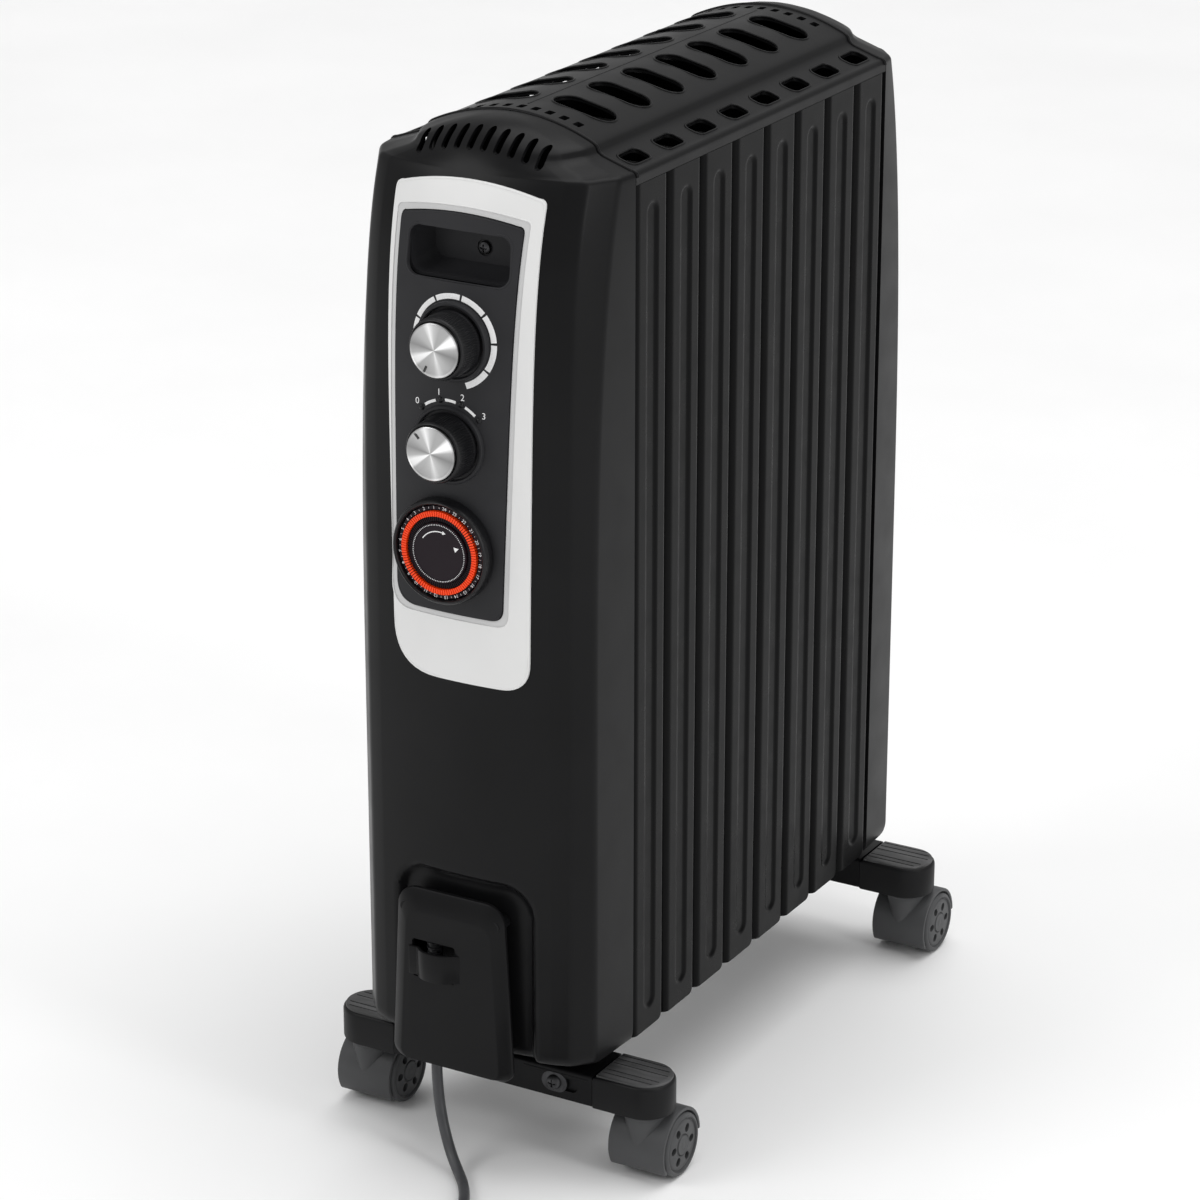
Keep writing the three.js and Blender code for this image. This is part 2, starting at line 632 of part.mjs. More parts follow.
function topGrille() {
  const y0 = GAP;
  const y1 = REAR_SEAM - GAP;
  let shell = prismAlongY(grilleOutline(0), y0, y1);
  shell = cut(shell, prismAlongY(grilleOutline(WALL), y0 - 1, y1 + 1));
  const low = FIN_TOP + SKIRT_HEIGHT;
  const ends = END_VENT_INSET + END_VENT_LENGTH + VENT_TO_SLOT;
  const crownPitch = (REAR_SEAM - 2 * ends) / CROWN_SLOTS;
  for (let i = 0; i < CROWN_SLOTS; i += 1) {
    const y = REAR_SEAM / 2 + (i - (CROWN_SLOTS - 1) / 2) * crownPitch;
    const middle = (CROWN_SLOT_INNER + CROWN_SLOT_OUTER) / 2;
    const length = CROWN_SLOT_OUTER - CROWN_SLOT_INNER;
    for (const side of [-1, 1]) {
      const outline = stadium(side * middle, y, length, CROWN_SLOT_WIDTH);
      shell = cut(shell, prismUpright(outline, low, ARCH_TOP + 1, 2));
    }
  }
  const shelfMiddle = (SHELF_INNER + FIN_HALF_WIDTH - FLANGE * 2) / 2;
  for (let i = 0; i < SHELF_HOLES; i += 1) {
    const y = FIN_PITCH * (i + 0.5);
    for (const side of [-1, 1]) {
      const x = side * shelfMiddle;
      const u = SHELF_HOLE_WIDTH / 2;
      const v = SHELF_HOLE_LENGTH / 2;
      const outline = roundedOutline(x - u, x + u, y - v, y + v, SHELF_HOLE_CORNER);
      shell = cut(shell, prismUpright(outline, low, ARCH_TOP + 1, 1));
    }
  }
  const rearVents = REAR_SEAM - END_VENT_INSET - END_VENT_LENGTH;
  return cut(shell, ...endVents(END_VENT_INSET), ...endVents(rearVents));
}

// ---------------------------------------------------------------- bezel and control panel
// An outline with an arched top and rounded corners, shrunk by inset.
function archedOutline(edge, inset) {
  const b = edge.bottom + inset;
  const t = edge.top - inset;
  const topLeft = -edge.topLeft + inset;
  const topRight = edge.topRight - inset;
  const left = -edge.bottomLeft + inset;
  const right = edge.bottomRight - inset;
  const { arch, topCorner, leftCorner, rightCorner } = edge;
  const shape = new THREE.Shape();
  shape.moveTo(left + leftCorner, b);
  shape.lineTo(right - rightCorner, b);
  shape.quadraticCurveTo(right, b, right, b + rightCorner);
  shape.lineTo(topRight, t - topCorner);
  shape.quadraticCurveTo(topRight, t, topRight - topCorner, t);
  shape.quadraticCurveTo((topLeft + topRight) / 2, t + arch * 2, topLeft + topCorner, t);
  shape.quadraticCurveTo(topLeft, t, topLeft, t - topCorner);
  shape.lineTo(left, b + leftCorner);
  shape.quadraticCurveTo(left, b, left + leftCorner, b);
  return shape;
}

const BEZEL_EDGE = {
  bottom: BEZEL_BOTTOM,
  top: BEZEL_TOP,
  arch: BEZEL_ARCH,
  topLeft: BEZEL_TOP_LEFT,
  topRight: BEZEL_TOP_RIGHT,
  bottomLeft: BEZEL_BOTTOM_LEFT,
  bottomRight: BEZEL_BOTTOM_RIGHT,
  topCorner: BEZEL_TOP_CORNER,
  leftCorner: BEZEL_LEFT_CORNER,
  rightCorner: BEZEL_RIGHT_CORNER,
};

const PANEL_EDGE = {
  bottom: PANEL_BOTTOM,
  top: PANEL_TOP,
  arch: PANEL_ARCH,
  topLeft: PANEL_TOP_LEFT,
  topRight: PANEL_TOP_RIGHT,
  bottomLeft: PANEL_BOTTOM_LEFT,
  bottomRight: PANEL_BOTTOM_RIGHT,
  topCorner: PANEL_TOP_CORNER,
  leftCorner: PANEL_LEFT_CORNER,
  rightCorner: PANEL_RIGHT_CORNER,
};

const bezelOutline = (inset) => archedOutline(BEZEL_EDGE, inset);
const panelOutline = (inset) => archedOutline(PANEL_EDGE, inset);

// A skin that follows the housing's front, between two heights above its surface.
function frontSkin(inner, outer) {
  return cut(housingForm(SMOOTH_FORM, -outer, -20), housingForm(SMOOTH_FORM, -inner, -19));
}

function bezelPanel() {
  const skin = frontSkin(GAP, GAP + BEZEL_THICKNESS);
  const sheet = skin.intersect(prismAlongY(bezelOutline(0), -FRONT_DEPTH - 20, -25));
  return cut(sheet, prismAlongY(panelOutline(0), -FRONT_DEPTH - 20, -20));
}

const surfaceAt = (z) => housingDepth(SMOOTH_FORM, 0, z, 0);
const collarInner = KNOB_RADIUS + KNOB_COLLAR_CLEARANCE;
const collarOuter = collarInner + KNOB_COLLAR_WIDTH;
const knobSeat = (z) => surfaceAt(z - collarOuter) + GAP + PANEL_THICKNESS;

function controlPanel() {
  const skin = frontSkin(GAP, GAP + PANEL_THICKNESS);
  let panel = skin.intersect(prismAlongY(panelOutline(GAP), -FRONT_DEPTH - 20, -25));
  const knobs = [
    [THERMOSTAT_X, THERMOSTAT_HEIGHT],
    [SELECTOR_X, SELECTOR_HEIGHT],
  ];
  for (const [x, z] of knobs) {
    const face = knobSeat(z);
    const collar = ring(collarInner, collarOuter, face - PANEL_THICKNESS, face + KNOB_COLLAR_RISE);
    panel = join(panel, turnedToFront(collar, x, z));
    panel = cut(panel, turnedToFront(rod(SHAFT_RADIUS + GAP * 2, 40, FRONT_DEPTH + 20), x, z, 16));
  }
  panel = cut(panel, turnedToFront(rod(TIMER_OPENING, 30, FRONT_DEPTH + 20), TIMER_X, TIMER_HEIGHT));
  const w = POCKET_HALF_WIDTH;
  const top = POCKET_BOTTOM + POCKET_HEIGHT;
  const mouth = surfaceAt(POCKET_BOTTOM) + 10;
  const back = surfaceAt(POCKET_BOTTOM) - POCKET_DEPTH;
  const wall = POCKET_WALL;
  const lip = surfaceAt(top) - 0.5;
  const tub = box(-w - wall, w + wall, -lip, -back + wall, POCKET_BOTTOM - wall, top + wall);
  panel = join(panel, tub);
  panel = cut(panel, roundedPocket(w, POCKET_BOTTOM, top, -mouth, -back));
  const screwHole = rod(POCKET_SCREW_RADIUS / 2 + GAP, back - 5, back + 1);
  return cut(panel, turnedToFront(screwHole, POCKET_SCREW_X, pocketScrewHeight, 12));
}

const pocketScrewHeight = POCKET_BOTTOM + POCKET_HEIGHT / 2;

function roundedPocket(halfWidth, bottom, top, y0, y1) {
  return prismAlongY(roundedOutline(-halfWidth, halfWidth, bottom, top, POCKET_CORNER), y0, y1, 3);
}

function pocketScrew() {
  const back = surfaceAt(POCKET_BOTTOM) - POCKET_DEPTH;
  const head = POCKET_SCREW_RADIUS;
  const profile = [
    [0, back - POCKET_SCREW_LENGTH],
    [head / 2, back - POCKET_SCREW_LENGTH],
    [head / 2, back + GAP],
    [head, back + GAP],
    [head * 0.7, back + GAP + POCKET_SCREW_HEAD],
    [0, back + GAP + POCKET_SCREW_HEAD],
  ];
  return turnedToFront(profile, POCKET_SCREW_X, pocketScrewHeight, 16);
}

// ---------------------------------------------------------------- knobs
function knob(x, z) {
  const base = knobSeat(z) + GAP;
  const tip = KNOB_FACE + GAP + KNOB_LENGTH;
  const profile = [
    [0, base - SHAFT_LENGTH],
    [SHAFT_RADIUS, base - SHAFT_LENGTH],
    [SHAFT_RADIUS, base],
    [KNOB_RADIUS, base],
    [KNOB_RADIUS, base + KNOB_FOOT],
    [KNOB_CAP_RADIUS + KNOB_RIM, tip - KNOB_RIM],
    [KNOB_CAP_RADIUS + KNOB_RIM / 2, tip],
    [0, tip],
  ];
  return turnedToFront(profile, x, z, KNOB_SEGMENTS);
}

function knobCap(x, z) {
  const from = KNOB_FACE + GAP + KNOB_LENGTH + GAP;
  const to = FRONT_REACH;
  const profile = [
    [0, from],
    [KNOB_CAP_RADIUS, from],
    [KNOB_CAP_RADIUS, to - GAP],
    [KNOB_CAP_RADIUS - GAP * 2, to],
    [0, to],
  ];
  return turnedToFront(profile, x, z, KNOB_SEGMENTS);
}

function controlBody(x, z, halfWidth, halfHeight, depth) {
  const front = knobSeat(z) - SHAFT_LENGTH - GAP;
  const block = box(x - halfWidth, x + halfWidth, -front, -front + depth, z - halfHeight, z + halfHeight);
  const neckTip = surfaceAt(z) - WALL - 2;
  const neck = turnedToFront(rod(SHAFT_RADIUS + CONTROL_NECK, front - 1, neckTip), x, z, 16);
  const bore = turnedToFront(rod(SHAFT_RADIUS + GAP, front, FRONT_DEPTH), x, z, 16);
  return cut(join(block, neck), bore);
}

function thermostat() {
  const [w, h] = [THERMOSTAT_HALF_WIDTH, THERMOSTAT_HALF_HEIGHT];
  return controlBody(THERMOSTAT_X, THERMOSTAT_HEIGHT, w, h, THERMOSTAT_DEPTH);
}

function selectorSwitch() {
  const half = SELECTOR_HALF_SIZE;
  return controlBody(SELECTOR_X, SELECTOR_HEIGHT, half, half, SELECTOR_DEPTH);
}

// ---------------------------------------------------------------- day timer
const timerBase = FRONT_DEPTH + GAP * 2 + PANEL_THICKNESS;
const dialBack = timerBase + DIAL_LIFT;
const dialFront = dialBack + DIAL_THICKNESS;

function timerBezel() {
  const tip = timerBase + TIMER_RISE;
  const inner = TIMER_RADIUS - TIMER_BEZEL_WIDTH;
  const profile = [
    [inner, timerBase],
    [TIMER_RADIUS, timerBase],
    [TIMER_RADIUS - 0.4, timerBase + TIMER_RISE / 2],
    [TIMER_RADIUS - 1.2, tip - 1],
    [TIMER_RADIUS - 2.2, tip],
    [inner, tip - 1.5],
    [inner, timerBase],
  ];
  return turnedToFront(profile, TIMER_X, TIMER_HEIGHT, TIMER_SEGMENTS);
}

function timerDial() {
  const outer = TIMER_RADIUS - TIMER_BEZEL_WIDTH - GAP;
  const groove = TAPPET_RISE;
  const profile = [
    [HUB_STEM + GAP, dialBack],
    [outer, dialBack],
    [outer, dialFront],
    [TAPPET_OUTER + GAP, dialFront],
    [TAPPET_OUTER + GAP, dialFront - groove],
    [TAPPET_INNER - GAP, dialFront - groove],
    [TAPPET_INNER - GAP, dialFront - 1],
    [HUB_STEM + GAP, dialFront - 1],
    [HUB_STEM + GAP, dialBack],
  ];
  return turnedToFront(profile, TIMER_X, TIMER_HEIGHT, TIMER_SEGMENTS);
}

function timerTappets() {
  const from = dialFront - TAPPET_RISE + GAP;
  const row = ring(TAPPET_INNER, TAPPET_OUTER, from, from + TAPPET_LENGTH);
  return turnedToFront(row, TIMER_X, TIMER_HEIGHT, TIMER_SEGMENTS);
}

function timerHub() {
  const profile = [
    [0, timerBase - HUB_STEM_LENGTH],
    [HUB_STEM, timerBase - HUB_STEM_LENGTH],
    [HUB_STEM, dialFront - 1 + GAP],
    [HUB_RADIUS, dialFront - 1 + GAP],
    [HUB_RADIUS, dialFront + HUB_RISE - GAP * 2],
    [HUB_RADIUS - GAP * 2, dialFront + HUB_RISE],
    [0, dialFront + HUB_RISE],
  ];
  return turnedToFront(profile, TIMER_X, TIMER_HEIGHT, TIMER_SEGMENTS);
}

function timerMovement() {
  const front = timerBase - HUB_STEM_LENGTH - GAP;
  const back = front - MOVEMENT_DEPTH;
  const can = turnedToFront(rod(MOVEMENT_RADIUS, back, front), TIMER_X, TIMER_HEIGHT);
  const [x0, x1] = [TIMER_X - MOVEMENT_LUG, TIMER_X + MOVEMENT_LUG];
  const low = TIMER_HEIGHT - MOVEMENT_LUG_HALF_HEIGHT;
  const high = TIMER_HEIGHT + MOVEMENT_LUG_HALF_HEIGHT;
  return join(can, box(x0, x1, -back - MOVEMENT_LUG_THICKNESS, -back, low, high));
}

// ---------------------------------------------------------------- oil filled fins
function finOutline(y, halfWidth, depth) {
  const r = FOLD_RADIUS;
  const y0 = y + GAP;
  const web = y0 + FIN_WEB;
  const shape = new THREE.Shape();
  shape.moveTo(-halfWidth + r, y0);
  shape.lineTo(halfWidth - r, y0);
  shape.absarc(halfWidth - r, y0 + r, r, -Math.PI / 2, 0);
  shape.lineTo(halfWidth, y + depth);
  shape.lineTo(halfWidth - FLANGE, y + depth);
  shape.lineTo(halfWidth - FLANGE, web);
  shape.lineTo(-halfWidth + FLANGE, web);
  shape.lineTo(-halfWidth + FLANGE, y + depth);
  shape.lineTo(-halfWidth, y + depth);
  shape.lineTo(-halfWidth, y0 + r);
  shape.absarc(-halfWidth + r, y0 + r, r, Math.PI, Math.PI * 1.5);
  return shape;
}

function grooveSolid(y, side) {
  const width = FIN_PITCH - FLANGE_SLIT;
  const middle = y + (width * (GROOVE_START + GROOVE_END)) / 2;
  const across = width * (GROOVE_END - GROOVE_START);
  const outline = stadium(middle, (FIN_BOTTOM + FIN_TOP) / 2, across, FIN_HEIGHT - 2 * GROOVE_MARGIN);
  const x0 = side > 0 ? FIN_HALF_WIDTH - GROOVE_DEPTH : -FIN_HALF_WIDTH - GROOVE_DEPTH;
  return prismAlongX(outline, x0, x0 + GROOVE_DEPTH * 2);
}

const header = {
  low: FIN_BOTTOM + HEADER_INSET,
  high: FIN_TOP - HEADER_INSET,
};

function headerTube(y0, y1, z, radius, segments) {
  return turnedToFront(rod(radius, -y1, -y0), 0, z, segments);
}

function fin(index) {
  const hidden = index === FIN_COUNT;
  const y = index * FIN_PITCH;
  const halfWidth = hidden ? FIN_HALF_WIDTH - HIDDEN_FIN_INSET : FIN_HALF_WIDTH;
  const depth = hidden ? HIDDEN_FIN_DEPTH : FIN_PITCH - FLANGE_SLIT;
  const bottom = hidden ? FIN_BOTTOM + HIDDEN_FIN_INSET : FIN_BOTTOM;
  let body = prismUpright(finOutline(y, halfWidth, depth), bottom, FIN_TOP, 3);
  if (!hidden) {
    for (const side of [-1, 1]) body = cut(body, grooveSolid(y, side));
  }
  const reach = hidden ? HIDDEN_HEADER_REACH : FIN_PITCH;
  for (const z of [header.low, header.high]) {
    const collar = headerTube(y + FIN_WEB - 1, y + reach, z, HEADER_RADIUS, 16);
    const first = z === header.high && index === 0;
    const last = z === header.low && hidden;
    const from = first ? y + FIN_WEB / 2 : y - 1;
    const to = last ? y + reach - 4 : y + reach + 1;
    body = cut(join(body, collar), headerTube(from, to, z, HEADER_BORE, 12));
  }
  return body;
}

function heatingElement() {
  const length = FIN_PITCH * FIN_COUNT - ELEMENT_SHORT;
  const bore = HEADER_BORE - GAP * 2;
  const hex = ELEMENT_FLANGE_THICKNESS + ELEMENT_HEX_THICKNESS;
  const profile = [
    [0, -length],
    [ELEMENT_RADIUS, -length],
    [ELEMENT_RADIUS, -ELEMENT_PLUG],
    [bore, -ELEMENT_PLUG],
    [bore, 0],
    [ELEMENT_FLANGE, 0],
    [ELEMENT_FLANGE, ELEMENT_FLANGE_THICKNESS],
    [ELEMENT_HEX, ELEMENT_FLANGE_THICKNESS],
    [ELEMENT_HEX, hex],
    [ELEMENT_PIN, hex],
    [ELEMENT_PIN, hex + ELEMENT_PIN_LENGTH],
    [0, hex + ELEMENT_PIN_LENGTH],
  ];
  return turnedToFront(profile, 0, header.low, 20);
}

function oilPlug() {
  const seat = REAR_SEAM + HIDDEN_HEADER_REACH;
  const profile = [
    [0, -seat - FILLER_HEAD_HEIGHT],
    [FILLER_CROWN, -seat - FILLER_HEAD_HEIGHT],
    [FILLER_HEAD, -seat - FILLER_HEAD_HEIGHT + 1],
    [FILLER_HEAD, -seat - GAP],
    [HEADER_BORE - 1, -seat - GAP],
    [HEADER_BORE - 1, -seat + FILLER_THREAD],
    [0, -seat + FILLER_THREAD],
  ];
  return turnedToFront(profile, 0, header.high, 18);
}

// ---------------------------------------------------------------- small parts inside the front
function thermalCutout() {
  return turnedToFront(rod(CUTOUT_RADIUS, 2, CUTOUT_REACH), 0, header.high - CUTOUT_BELOW_HEADER, 16);
}

const blockOf = ({ x0, x1, y0, y1, z0, z1 }) => box(x0, x1, y0, y1, z0, z1);

function terminalBlock() {
  let block = blockOf(TERMINAL_BLOCK);
  const middle = (TERMINAL_BLOCK.x0 + TERMINAL_BLOCK.x1) / 2;
  const z = (TERMINAL_BLOCK.z0 + TERMINAL_BLOCK.z1) / 2;
  for (let i = 0; i < TERMINALS; i += 1) {
    const x = middle + (i - (TERMINALS - 1) / 2) * TERMINAL_PITCH;
    block = cut(block, turnedToFront(rod(TERMINAL_HOLE, TERMINAL_DEPTH, FRONT_DEPTH), x, z, 10));
  }
  return block;
}

// ---------------------------------------------------------------- cord cover plate
const plateFace = recessFloor + PLATE_STAND_OFF + PLATE_THICKNESS;
const plateBottom = FIN_BOTTOM - PLATE_DROP;

function plateOutline() {
  const b = plateBottom;
  const t = plateBottom + PLATE_HEIGHT;
  const wt = PLATE_TOP_HALF_WIDTH;
  const wb = PLATE_BOTTOM_HALF_WIDTH;
  const c = PLATE_CORNER;
  const points = [
    [-wb + c, b],
    [wb - c, b],
    [wb, b + c],
    [wt, t - c],
    [wt - c, t],
    [-wt + c, t],
    [-wt, t - c],
    [-wb, b + c],
  ];
  return outlineThrough(points.map(([x, z]) => [x + PLATE_X, z]));
}

// The moulded spring clip: an arched tongue, joined at its right end and open at its left.
function clipOutline() {
  const x0 = CLIP_X - CLIP_WIDTH / 2;
  const x1 = CLIP_X + CLIP_WIDTH / 2;
  const face = -plateFace;
  const tab = face - CLIP_TAB_LIFT;
  const crest = face - CLIP_BULGE;
  const middle = x0 + CLIP_CREST;
  const root = face + PLATE_THICKNESS / 2;
  const t = CLIP_THICKNESS;
  const shape = new THREE.Shape();
  shape.moveTo(x0, tab);
  shape.lineTo(x0 + CLIP_TAB, tab);
  shape.quadraticCurveTo(x0 + CLIP_TAB * 1.7, crest - t * 1.2, middle, crest);
  shape.quadraticCurveTo(x1 - t * 2.5, crest + 1, x1, root - t);
  shape.lineTo(x1 + CLIP_ROOT - 1, root);
  shape.lineTo(x1 - CLIP_ROOT, root);
  shape.quadraticCurveTo(x1 - t * 3.3, face - t * 1.7, middle, crest + t);
  shape.quadraticCurveTo(x0 + CLIP_TAB * 1.9, face - t * 2, x0 + CLIP_TAB * 1.3, tab + t);
  shape.lineTo(x0, tab + t);
  return shape;
}

function cordPlate() {
  let plate = prismAlongY(plateOutline(), -plateFace, -plateFace + PLATE_THICKNESS);
  const z0 = plateBottom + CLIP_ABOVE_PLATE_BOTTOM;
  const z1 = z0 + CLIP_HEIGHT;
  const slot = box(
    CLIP_X - CLIP_WIDTH / 2 - CLIP_SLOT_SIDE,
    CLIP_X + CLIP_WIDTH / 2 - CLIP_ROOT,
    -plateFace - 1,
    -plateFace + PLATE_THICKNESS + 1,
    z0 - CLIP_SLOT_BELOW,
    z1 + CLIP_SLOT_ABOVE,
  );
  plate = cut(plate, slot);
  plate = join(plate, prismUpright(clipOutline(), z0, z1, 4));
  const left = PLATE_X - PLATE_TOP_HALF_WIDTH + POST_INSET;
  const right = PLATE_X + PLATE_TOP_HALF_WIDTH - POST_INSET;
  const besideLead = CORD_X + POCKET_SIDE + POST_RADIUS + WALL;
  const upper = plateBottom + PLATE_HEIGHT - UPPER_POST_DROP;
  const lower = FIN_BOTTOM + LOWER_POST_RISE;
  const posts = [
    [left, upper],
    [right, upper],
    [besideLead, lower],
    [right, lower],
  ];
  for (const [x, z] of posts) {
    const floor = housingDepth(FRONT_FORM, x, z, 0) + GAP * 2;
    plate = join(plate, turnedToFront(rod(POST_RADIUS, floor, plateFace - 1), x, z, 12));
  }
  return plate;
}

// ---------------------------------------------------------------- feet
function footBar(y, frontSide) {
  const h = BAR_WIDTH / 2;
  const l = BAR_HALF_LENGTH;
  let bar = box(-l, l, y - h, y + h, BAR_BOTTOM, BAR_TOP);
  const inner = box(-l - 1, l + 1, y - h + BAR_WALL, y + h - BAR_WALL, BAR_BOTTOM - 1, BAR_TOP - BAR_WALL);
  bar = cut(bar, inner);
  const middle = (BAR_BOTTOM + BAR_TOP) / 2;
  for (const side of [-1, 1]) {
    const outline = stadium(side * BAR_SLOT_X, middle, BAR_SLOT_LENGTH, BAR_SLOT_HEIGHT);
    const wall = y + frontSide * (h - BAR_WALL / 2);
    bar = cut(bar, prismAlongY(outline, wall - BAR_WALL, wall + BAR_WALL, 3));
    const x0 = side * BAR_PAD_X - BAR_PAD_LENGTH / 2;
    const x1 = x0 + BAR_PAD_LENGTH;
    const w = BAR_PAD_HALF_WIDTH;
    const pad = box(x0, x1, y - w, y + w, BAR_TOP - 1, FIN_BOTTOM - GAP);
    bar = join(bar, pad);
  }
  return bar;
}

// One arm, drawn for the right-hand side and mirrored for the left.
function footArm(y, side) {
  const r = BAR_WIDTH / 2;
  const x0 = BAR_HALF_LENGTH + GAP;
  const top = new THREE.Shape();
  top.moveTo(x0, y - r);
  top.lineTo(CASTER_X, y - r);
  top.absarc(CASTER_X, y, r, -Math.PI / 2, Math.PI / 2);
  top.lineTo(x0, y + r);
  let arm = prismUpright(top, ARM_BOTTOM, ARM_TOP - ARM_RIB, 12);
  const ribs = [
    [-r + 1.5, -r * 0.45],
    [-r * 0.28, r * 0.28],
    [r * 0.45, r - 1.5],
  ];
  for (const [v0, v1] of ribs) {
    const end = CASTER_X + Math.sqrt(r * r - Math.max(v0 * v0, v1 * v1)) - 1.5;
    arm = join(arm, box(x0, end, y + v0, y + v1, ARM_TOP - ARM_RIB - 1, ARM_TOP));
  }
  const inside = BAR_WALL + GAP;
  const tongue = box(
    x0 - ARM_SPIGOT,
    x0 + 1,
    y - r + inside,
    y + r - inside,
    BAR_BOTTOM + 1,
    BAR_TOP - inside,
  );
  arm = join(arm, tongue);
  const socket = rod(STEM_RADIUS + GAP, ARM_BOTTOM - 1, ARM_BOTTOM + STEM_LENGTH + 1);
  arm = cut(arm, turnedUpright(socket, CASTER_X, y, 20));
  return side > 0 ? arm : arm.mirror([1, 0, 0]);
}

function barScrew(y, side) {
  const face = -(y - BAR_WIDTH / 2) + GAP;
  const z = (BAR_BOTTOM + BAR_TOP) / 2;
  const x = side * BAR_SCREW_X;
  const flange = stadium(x, z, BAR_FLANGE_WIDTH, BAR_FLANGE_HEIGHT);
  const washer = prismAlongY(flange, -face - BAR_FLANGE_THICKNESS, -face, 3);
  const profile = [
    [0, face - BAR_SCREW_LENGTH],
    [BAR_SCREW_RADIUS, face - BAR_SCREW_LENGTH],
    [BAR_SCREW_RADIUS, face + 1],
    [BAR_SCREW_HEAD, face + 1],
    [BAR_SCREW_HEAD, face + BAR_SCREW_HEAD_HEIGHT - 1],
    [BAR_SCREW_HEAD * 0.7, face + BAR_SCREW_HEAD_HEIGHT],
    [0, face + BAR_SCREW_HEAD_HEIGHT],
  ];
  return join(washer, turnedToFront(profile, x, z, 12));
}

// ---------------------------------------------------------------- casters
function casterHood(x, y) {
  const axleY = y + CASTER_TRAIL;
  const z = WHEEL_RADIUS;
  const half = CASTER_HALF_WIDTH - 1;
  const inner = WHEEL_RADIUS + HOOD_CLEARANCE;
  let hood = turnedAlongX(rod(HOOD_RADIUS, -half, half), axleY, z, CASTER_SEGMENTS);
  hood = cut(hood, turnedAlongX(rod(inner, HOOD_WEB / 2, half + 1), axleY, z, CASTER_SEGMENTS));
  hood = cut(hood, turnedAlongX(rod(inner, -half - 1, -HOOD_WEB / 2), axleY, z, CASTER_SEGMENTS));
  const reach = HOOD_RADIUS + 5;
  hood = cut(hood, box(-half - 1, half + 1, axleY - reach, axleY + reach, -5, z - HOOD_FRONT_REACH));
  hood = cut(hood, box(-half - 1, half + 1, axleY + 9, axleY + reach, -5, z));
  const turntable = ARM_BOTTOM - GAP * 2;
  const stem = [
    [0, z + 12],
    [TURNTABLE_RADIUS - 3, z + 12],
    [TURNTABLE_RADIUS, turntable - 2],
    [TURNTABLE_RADIUS, turntable],
    [STEM_RADIUS, turntable],
    [STEM_RADIUS, turntable + STEM_LENGTH],
    [0, turntable + STEM_LENGTH],
  ];
  hood = join(hood, cut(turnedUpright(stem, 0, y, 24), wheelRoom(axleY, z, inner)));
  hood = cut(hood, turnedAlongX(rod(AXLE_RADIUS + GAP, -half, half), axleY, z, 12));
  return hood.translate([x, 0, 0]);
}

function wheelRoom(axleY, z, radius) {
  const right = turnedAlongX(rod(radius, HOOD_WEB / 2, CASTER_HALF_WIDTH + 5), axleY, z, CASTER_SEGMENTS);
  const left = turnedAlongX(rod(radius, -CASTER_HALF_WIDTH - 5, -HOOD_WEB / 2), axleY, z, CASTER_SEGMENTS);
  return join(right, left);
}

function casterAxle(x, y) {
  const half = CASTER_HALF_WIDTH - 2;
  return turnedAlongX(rod(AXLE_RADIUS, -half, half), y + CASTER_TRAIL, WHEEL_RADIUS, 12).translate([x, 0, 0]);
}

function wheel(x, y, side) {
  const outer = CASTER_HALF_WIDTH;
  const inner = outer - WHEEL_WIDTH;
  const hub = AXLE_RADIUS + GAP;
  const r = WHEEL_RADIUS;
  const profile = [
    [hub, inner],
    [r - 1, inner],
    [r, inner + 1.5],
    [r, outer - 2],
    [r - 2, outer],
    [hub, outer],
    [hub, inner],
  ];
  const turned = turnedAlongX(profile, y + CASTER_TRAIL, WHEEL_RADIUS, CASTER_SEGMENTS);
  const placed = side > 0 ? turned : turned.mirror([1, 0, 0]);
  return placed.translate([x, 0, 0]);
}

// ---------------------------------------------------------------- mains lead
function strainRelief() {
  const top = cordPocketTop;
  const profile = [
    [0, RELIEF_TIP],
    [RELIEF_TIP_RADIUS, RELIEF_TIP],
    [RELIEF_RADIUS, top - GAP],
    [RELIEF_NECK, top - GAP],
    [RELIEF_NECK, top + WALL + GAP],
    [reliefFlange, top + WALL + GAP],
    [reliefFlange, top + WALL + RELIEF_FLANGE_HEIGHT],
    [0, top + WALL + RELIEF_FLANGE_HEIGHT],
  ];
  return turnedUpright(profile, CORD_X, cordY, 16);
}

// Route of the lead from the strain relief down to the floor and along it to the coil.
const CORD_POINTS = [
  [CORD_X, cordY, RELIEF_TIP - GAP],
  [CORD_X, cordY, 112],
  [CORD_X, -50.6, 98],
  [-28.9, -51.2, 84],
  [-28.4, -52.4, 70],
  [-27, -54.4, 56],
  [-24.2, -57.2, 42.5],
  [-19.8, -60.8, 30],
  [-13.8, -65.2, 18.8],
  [-6.4, -70.6, 10],
  [2, -77.4, 5],
  [10.4, -86, 3.6],
  [18, -96.4, 3.6],
  [24.6, -108, 3.6],
  [30, -121, 3.6],
  [34, -136, 3.6],
  [36, -152, 3.6],
  [36.5, -170, 3.6],
];

function cordPath() {
  return new THREE.CatmullRomCurve3(CORD_POINTS.map((p) => new THREE.Vector3(...p)), false, "centripetal");
}

function powerCord() {
  const r = CORD_DIAMETER / 2;
  const section = new THREE.Shape();
  section.absarc(0, 0, r, 0, Math.PI * 2);
  const options = { steps: 18, extrudePath: cordPath(), bevelEnabled: false, curveSegments: 8 };
  return solid(new THREE.ExtrudeGeometry(section, options));
}

function cordCoil() {
  const r0 = COIL_MEAN_RADIUS - COIL_HALF_WIDTH;
  const r1 = COIL_MEAN_RADIUS + COIL_HALF_WIDTH;
  return turnedUpright(ring(r0, r1, 0, COIL_HEIGHT), COIL_CENTRE[0], COIL_CENTRE[1], 32);
}

